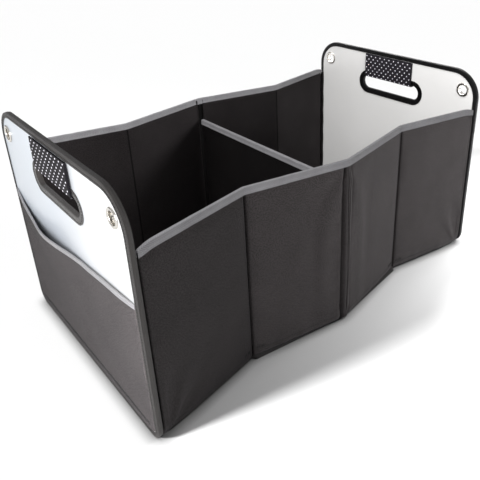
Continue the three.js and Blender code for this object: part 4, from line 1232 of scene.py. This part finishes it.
# floor pads: quilted foam with a bound edge, and a webbing pull loop
for side, s in (("left", -1), ("right", 1)):
    plo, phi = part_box(f"{side}_floor_pad")
    hz = (phi[2] - plo[2]) / 2
    zc = (phi[2] + plo[2]) / 2

    def quilt(a, c, sg, plo=plo, phi=phi, hz=hz):
        if sg < 0:
            return np.full_like(a, 0.00155) * 0 + 0.0001
        g = np.zeros_like(a)
        for k in (1, 2, 3):
            g += np.exp(-((a - (plo[0] + (phi[0] - plo[0]) * k / 4)) / 0.0018) ** 2)
            g += np.exp(-((c - (plo[1] + (phi[1] - plo[1]) * k / 4)) / 0.0018) ** 2)
        brd = np.minimum(np.minimum(a - plo[0], phi[0] - a), np.minimum(c - plo[1], phi[1] - c))
        g += np.exp(-((brd - 0.007) / 0.0014) ** 2)
        return hz * (1.0 - 0.32 * np.clip(g, 0, 1)) + 0.0001 * noise2(a / 0.02, c / 0.02, 77, 2)
    ob = slab(f"{side}_floor_quilt", (plo[0] + 0.0002, phi[0] - 0.0002, 110), (plo[1] + 0.0002, phi[1] - 0.0002, 116), quilt,
              lambda a, c, h, zc=zc: np.stack([a, c, zc + 0.0002 + h], -1), [MAT["lining"], MAT["thread_dark"]], f"{side}_floor", [f"{side}_floor_pad"], edge=0.0018)
    tlo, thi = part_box(f"{side}_pull_loop")
    # a strap bent into a loop: both legs tucked under the pad's edge
    path = []
    x_in, x_out = (tlo[0], thi[0]) if s > 0 else (thi[0], tlo[0])
    yc = 0.0
    zc2 = (tlo[2] + thi[2]) / 2
    wdt = 0.0045
    outer_, inner_ = [], []
    hw = (thi[1] - tlo[1]) / 2
    L_ = abs(x_out - x_in)
    pts_c = [(1.0, -hw + wdt / 2), (0.45, -hw + wdt / 2)]
    for a in np.linspace(-math.pi / 2, math.pi / 2, 13):
        pts_c.append((0.45 - (L_ * 0.45 - wdt / 2) / L_ * math.cos(a), (hw - wdt / 2) * math.sin(a)))
    pts_c += [(0.45, hw - wdt / 2), (1.0, hw - wdt / 2)]
    pc = np.array([(x_in + (x_out - x_in) * u_, yc + v_, zc2) for u_, v_ in pts_c])
    tn = np.gradient(pc, axis=0)
    tn /= np.linalg.norm(tn, axis=1)[:, None]
    sdv = np.cross(tn, [0, 0, 1.0])
    sec = [(-1, -0.35), (-0.9, -1), (0, -1.1), (0.9, -1), (1, -0.35), (1, 0.35), (0.9, 1), (0, 1.1), (-0.9, 1), (-1, 0.35)]
    P = np.zeros((len(pc), len(sec), 3)); UV = np.zeros((len(pc), len(sec), 2))
    ac = np.r_[0, np.cumsum(np.linalg.norm(np.diff(pc, axis=0), axis=1))]
    for i in range(len(pc)):
        for k, (a_, h_) in enumerate(sec):
            P[i, k] = pc[i] + sdv[i] * a_ * wdt / 2 + np.array([0, 0, h_ * 0.0005])
            UV[i, k] = (ac[i], (a_ + 1) * wdt / 2)
    b = Build()
    b.grid(P, UV, 0, flip=True, close_v=True)
    nC = len(sec)
    b.poly(range(0, nC)); b.poly(range(len(pc) * nC - 1, (len(pc) - 1) * nC - 1, -1))
    ob = b.make(f"{side}_pull_strap", [MAT["black"]], sharp=50)
    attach(ob, f"{side}_floor"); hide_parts(f"{side}_pull_loop")


# ---------------------------------------------------------------- the stage
def stage_plane():
    b = Build()
    g = np.array([[[-6, -6, 0], [-6, 6, 0]], [[6, -6, 0], [6, 6, 0]]], float)
    g[..., 2] = -0.0003
    b.grid(g, g[..., :2])
    m, nt, bsdf = mat_new("studio_floor")
    bsdf.inputs["Base Color"].default_value = (0.86, 0.86, 0.86, 1)
    bsdf.inputs["Roughness"].default_value = 0.75
    bsdf.inputs["Specular IOR Level"].default_value = 0.15
    # painted contact shadow: the floor's colour darkens by ambient occlusion close to the crate's foot
    ao = nt.nodes.new("ShaderNodeAmbientOcclusion")
    ao.inputs["Distance"].default_value = 0.017
    ao.samples = 8
    contact_shadow_tone = ramp(nt, ao.outputs["AO"], [(0.25, (0.03, 0.03, 0.03)), (0.62, (0.50, 0.50, 0.50)), (0.90, (0.86, 0.86, 0.86))])
    path_ = nt.nodes.new("ShaderNodeLightPath")      # the floor throws little light back up on to the crate
    nt.links.new(mixc(nt, path_.outputs["Is Diffuse Ray"], contact_shadow_tone, (0.30, 0.30, 0.30)), bsdf.inputs["Base Color"])
    ob = b.make("studio_floor", [m])


stage_plane()
w = bpy.data.worlds.new("studio") if not bpy.data.worlds else bpy.data.worlds[0]
bpy.context.scene.world = w
w.use_nodes = True
wn = w.node_tree
for n in list(wn.nodes):
    wn.nodes.remove(n)
out = wn.nodes.new("ShaderNodeOutputWorld")
bg_cam, bg_amb, bg_gls = (wn.nodes.new("ShaderNodeBackground") for _ in range(3))
bg_cam.inputs["Color"].default_value = (1, 1, 1, 1)
bg_cam.inputs["Strength"].default_value = 1.0
bg_amb.inputs["Color"].default_value = (1, 1, 1, 1)
bg_amb.inputs["Strength"].default_value = 0.105
# shiny pieces see a softbox overhead and darker walls
geo = wn.nodes.new("ShaderNodeTexCoord")
sepw = wn.nodes.new("ShaderNodeSeparateXYZ")
wn.links.new(geo.outputs["Generated"], sepw.inputs[0])
fz = math_(wn, "MULTIPLY_ADD", sepw.outputs[2], 0.5, 0.5)
wn.links.new(ramp(wn, fz, [(0.0, (0.55, 0.55, 0.55)), (0.46, (0.42, 0.42, 0.42)), (0.52, (0.06, 0.06, 0.06)), (0.62, (0.14, 0.14, 0.15)), (0.72, (0.85, 0.85, 0.88)), (1.0, (1.0, 1.0, 1.0))]), bg_gls.inputs["Color"])
bg_gls.inputs["Strength"].default_value = 0.8
lp = wn.nodes.new("ShaderNodeLightPath")
m1, m2 = wn.nodes.new("ShaderNodeMixShader"), wn.nodes.new("ShaderNodeMixShader")
wn.links.new(lp.outputs["Is Glossy Ray"], m1.inputs[0])
wn.links.new(bg_amb.outputs[0], m1.inputs[1])
wn.links.new(bg_gls.outputs[0], m1.inputs[2])
wn.links.new(lp.outputs["Is Camera Ray"], m2.inputs[0])
wn.links.new(m1.outputs[0], m2.inputs[1])
wn.links.new(bg_cam.outputs[0], m2.inputs[2])
wn.links.new(m2.outputs[0], out.inputs["Surface"])


def area(name, loc, look, size, power, color=(1, 1, 1)):
    d = bpy.data.lights.new(name, "AREA")
    d.shape = "RECTANGLE"
    d.size, d.size_y = size
    d.energy = power
    d.color = color
    o = bpy.data.objects.new(name, d)
    bpy.context.scene.collection.objects.link(o)
    o.location = loc
    o.rotation_euler = (Vector(look) - Vector(loc)).to_track_quat("-Z", "Y").to_euler()
    return o


sun_d = bpy.data.lights.new("key_sun", "SUN")
sun_d.energy = 6.2
sun_d.angle = math.radians(10)
sun = bpy.data.objects.new("key_sun", sun_d)
bpy.context.scene.collection.objects.link(sun)
e_ = math.radians(32.5)
sun_from = Vector((-0.960 * math.cos(e_), 0.281 * math.cos(e_), math.sin(e_)))
sun.rotation_euler = (-sun_from).to_track_quat("-Z", "Y").to_euler()


def only(light, names, state="INCLUDE"):
    """Light linking: the light reaches only these pieces, or all but these."""
    col = bpy.data.collections.new(light.name + "_receivers")
    for o in bpy.data.objects:
        if o.type == "MESH" and names(o.name):
            col.objects.link(o)
    for c in col.collection_objects:
        c.light_linking.link_state = state
    light.light_linking.receiver_collection = col


left_sheet = frame["nodes"]["left_outer_sheet"].name
right_sheet = frame["nodes"]["right_inner_sheet"].name
rear_sheets = (frame["nodes"]["right_outer_sheet"].name,)
LEFT = lambda n: n == left_sheet or (n.startswith("left_") and "floor" not in n and "pull" not in n)
TAPES = lambda n: "top_tape" in n
INSIDE = lambda n: any(k in n for k in ("inner_cloth", "divider", "floor_quilt", "top_tape", "mid_liner")) or n == right_sheet or n in ("right_edge_tape", "right_slot_tape")
# the key leaves the inside alone: the lining stays in the crate's own shade
only(sun, lambda n: INSIDE(n) or LEFT(n), "EXCLUDE")
# a big soft panel beside the near corner lights the left end and falls off towards its far edge
left_key = area("left_key", (-0.68, -0.62, 0.44), (-0.27, -0.04, 0.12), (0.5, 0.5), 9.5)
only(left_key, lambda n: LEFT(n) and n != "left_edge_tape" and "pocket" not in n)
pocket_key = area("pocket_key", (-0.50, -0.52, 0.30), (-0.27, -0.04, 0.10), (0.4, 0.4), 7.2)
only(pocket_key, lambda n: n.startswith("left_pocket"))
sheet_back = area("sheet_back", (-0.78, 0.25, 0.70), (-0.27, 0.08, 0.18), (0.5, 0.5), 2.8)
only(sheet_back, lambda n: n == left_sheet)
edge_key = area("edge_key", (-0.95, -0.25, 0.26), (-0.27, -0.05, 0.15), (0.4, 0.4), 6.0)
only(edge_key, lambda n: n == "left_edge_tape")
fill = area("fill", (0.95, -0.75, 0.60), (0.05, -0.16, 0.05), (0.5, 0.5), 8.2)
only(fill, lambda n: n.startswith("near_wall_1") or n.startswith("near_wall_2") or (n.startswith("near_") and "top_tape" in n) or n in ("right_edge_tape", "right_slot_tape", "studio_floor"), "EXCLUDE")
fill2 = area("fill_left", (0.55, -0.85, 0.55), (-0.10, -0.16, 0.10), (0.5, 0.5), 5.4)
only(fill2, lambda n: n.startswith("near_wall_2"))
fill3 = area("fill_corner", (-0.22, -0.55, 0.75), (-0.20, -0.16, 0.16), (0.4, 0.4), 0.6)
only(fill3, lambda n: n.startswith("near_wall_1"))
fill4 = area("fill_right", (0.80, -0.85, 0.50), (0.20, -0.15, 0.10), (0.4, 0.4), 2.5)
only(fill4, lambda n: n.startswith("near_wall_4"))
tape_light = area("tape_light", (-0.60, -0.50, 1.00), (0.0, 0.0, 0.22), (1.1, 0.6), 10.0)
only(tape_light, TAPES)
soft = area("sheet_softbox", (-0.15, -0.35, 0.75), (0.26, 0.0, 0.16), (0.7, 0.7), 12)
only(soft, lambda n: n == right_sheet)
left_inner = frame["nodes"]["left_inner_sheet"].name
soft_l = area("sheet_softbox_left", (0.20, 0.30, 0.75), (-0.26, 0.0, 0.16), (0.7, 0.7), 8.5)
only(soft_l, lambda n: n == left_inner)
floor_glow = area("floor_glow", (0.62, -0.30, 0.26), (0.24, -0.20, 0.0), (0.5, 0.5), 3.85)
floor_glow.data.spread = math.radians(130)
only(floor_glow, lambda n: n == "studio_floor")
# the two faces turned away from the camera get a panel of their own
rear = area("rear_panel", (0.95, 0.75, 0.75), (0.15, 0.08, 0.12), (0.8, 0.8), 16)
only(rear, lambda n: (n.startswith("far_") and ("outer_cloth" in n or "ridge" in n)) or n in rear_sheets or (n.startswith("right_") and ("pocket" in n or "edge_tape" in n or "dotted" in n or "eyelet" in n)))

sc = bpy.context.scene
sc.view_settings.view_transform = "Standard"
sc.view_settings.look = "None"
sc.view_settings.exposure = 0.0
sc.view_settings.gamma = 1.0

# ---------------------------------------------------------------- the camera
cam_d = bpy.data.cameras.new("camera")
cam = bpy.data.objects.new("camera", cam_d)
sc.collection.objects.link(cam)
cam_d.sensor_width = 36.0
cam_d.lens = 551.74 * 36.0 / 480.0
CX0 = 0.2718
cam.location = (-0.1572 - CX0, -0.5458, 0.4863)
el, az = math.radians(24.17), math.radians(43.66)
fwd = Vector((math.sin(az) * math.cos(el), math.cos(az) * math.cos(el), -math.sin(el)))
cam.rotation_mode = "QUATERNION"
cam.rotation_quaternion = fwd.to_track_quat("-Z", "Y")
cam_d.clip_start, cam_d.clip_end = 0.01, 60
# The lens shift belongs to this one viewpoint: away from it the driver's curve falls to zero, so any other view is centred
for prop, val in (("shift_x", (240 - 312.5) / 480), ("shift_y", (160.3 - 240) / 480)):
    setattr(cam_d, prop, val)
    fc = cam_d.driver_add(prop)
    fc.driver.type = "AVERAGE"
    var = fc.driver.variables.new()
    var.type = "TRANSFORMS"
    var.targets[0].id = cam
    var.targets[0].transform_type = "LOC_X"
    var.targets[0].transform_space = "WORLD_SPACE"
    for md in list(fc.modifiers):
        fc.modifiers.remove(md)
    x0 = cam.location[0]
    for dx, v in ((-0.04, 0.0), (-0.02, val), (0.02, val), (0.04, 0.0)):
        k = fc.keyframe_points.insert(x0 + dx, v, options={"FAST"})
        k.interpolation = "LINEAR"
    fc.extrapolation = "CONSTANT"
    fc.update()
sc.camera = cam
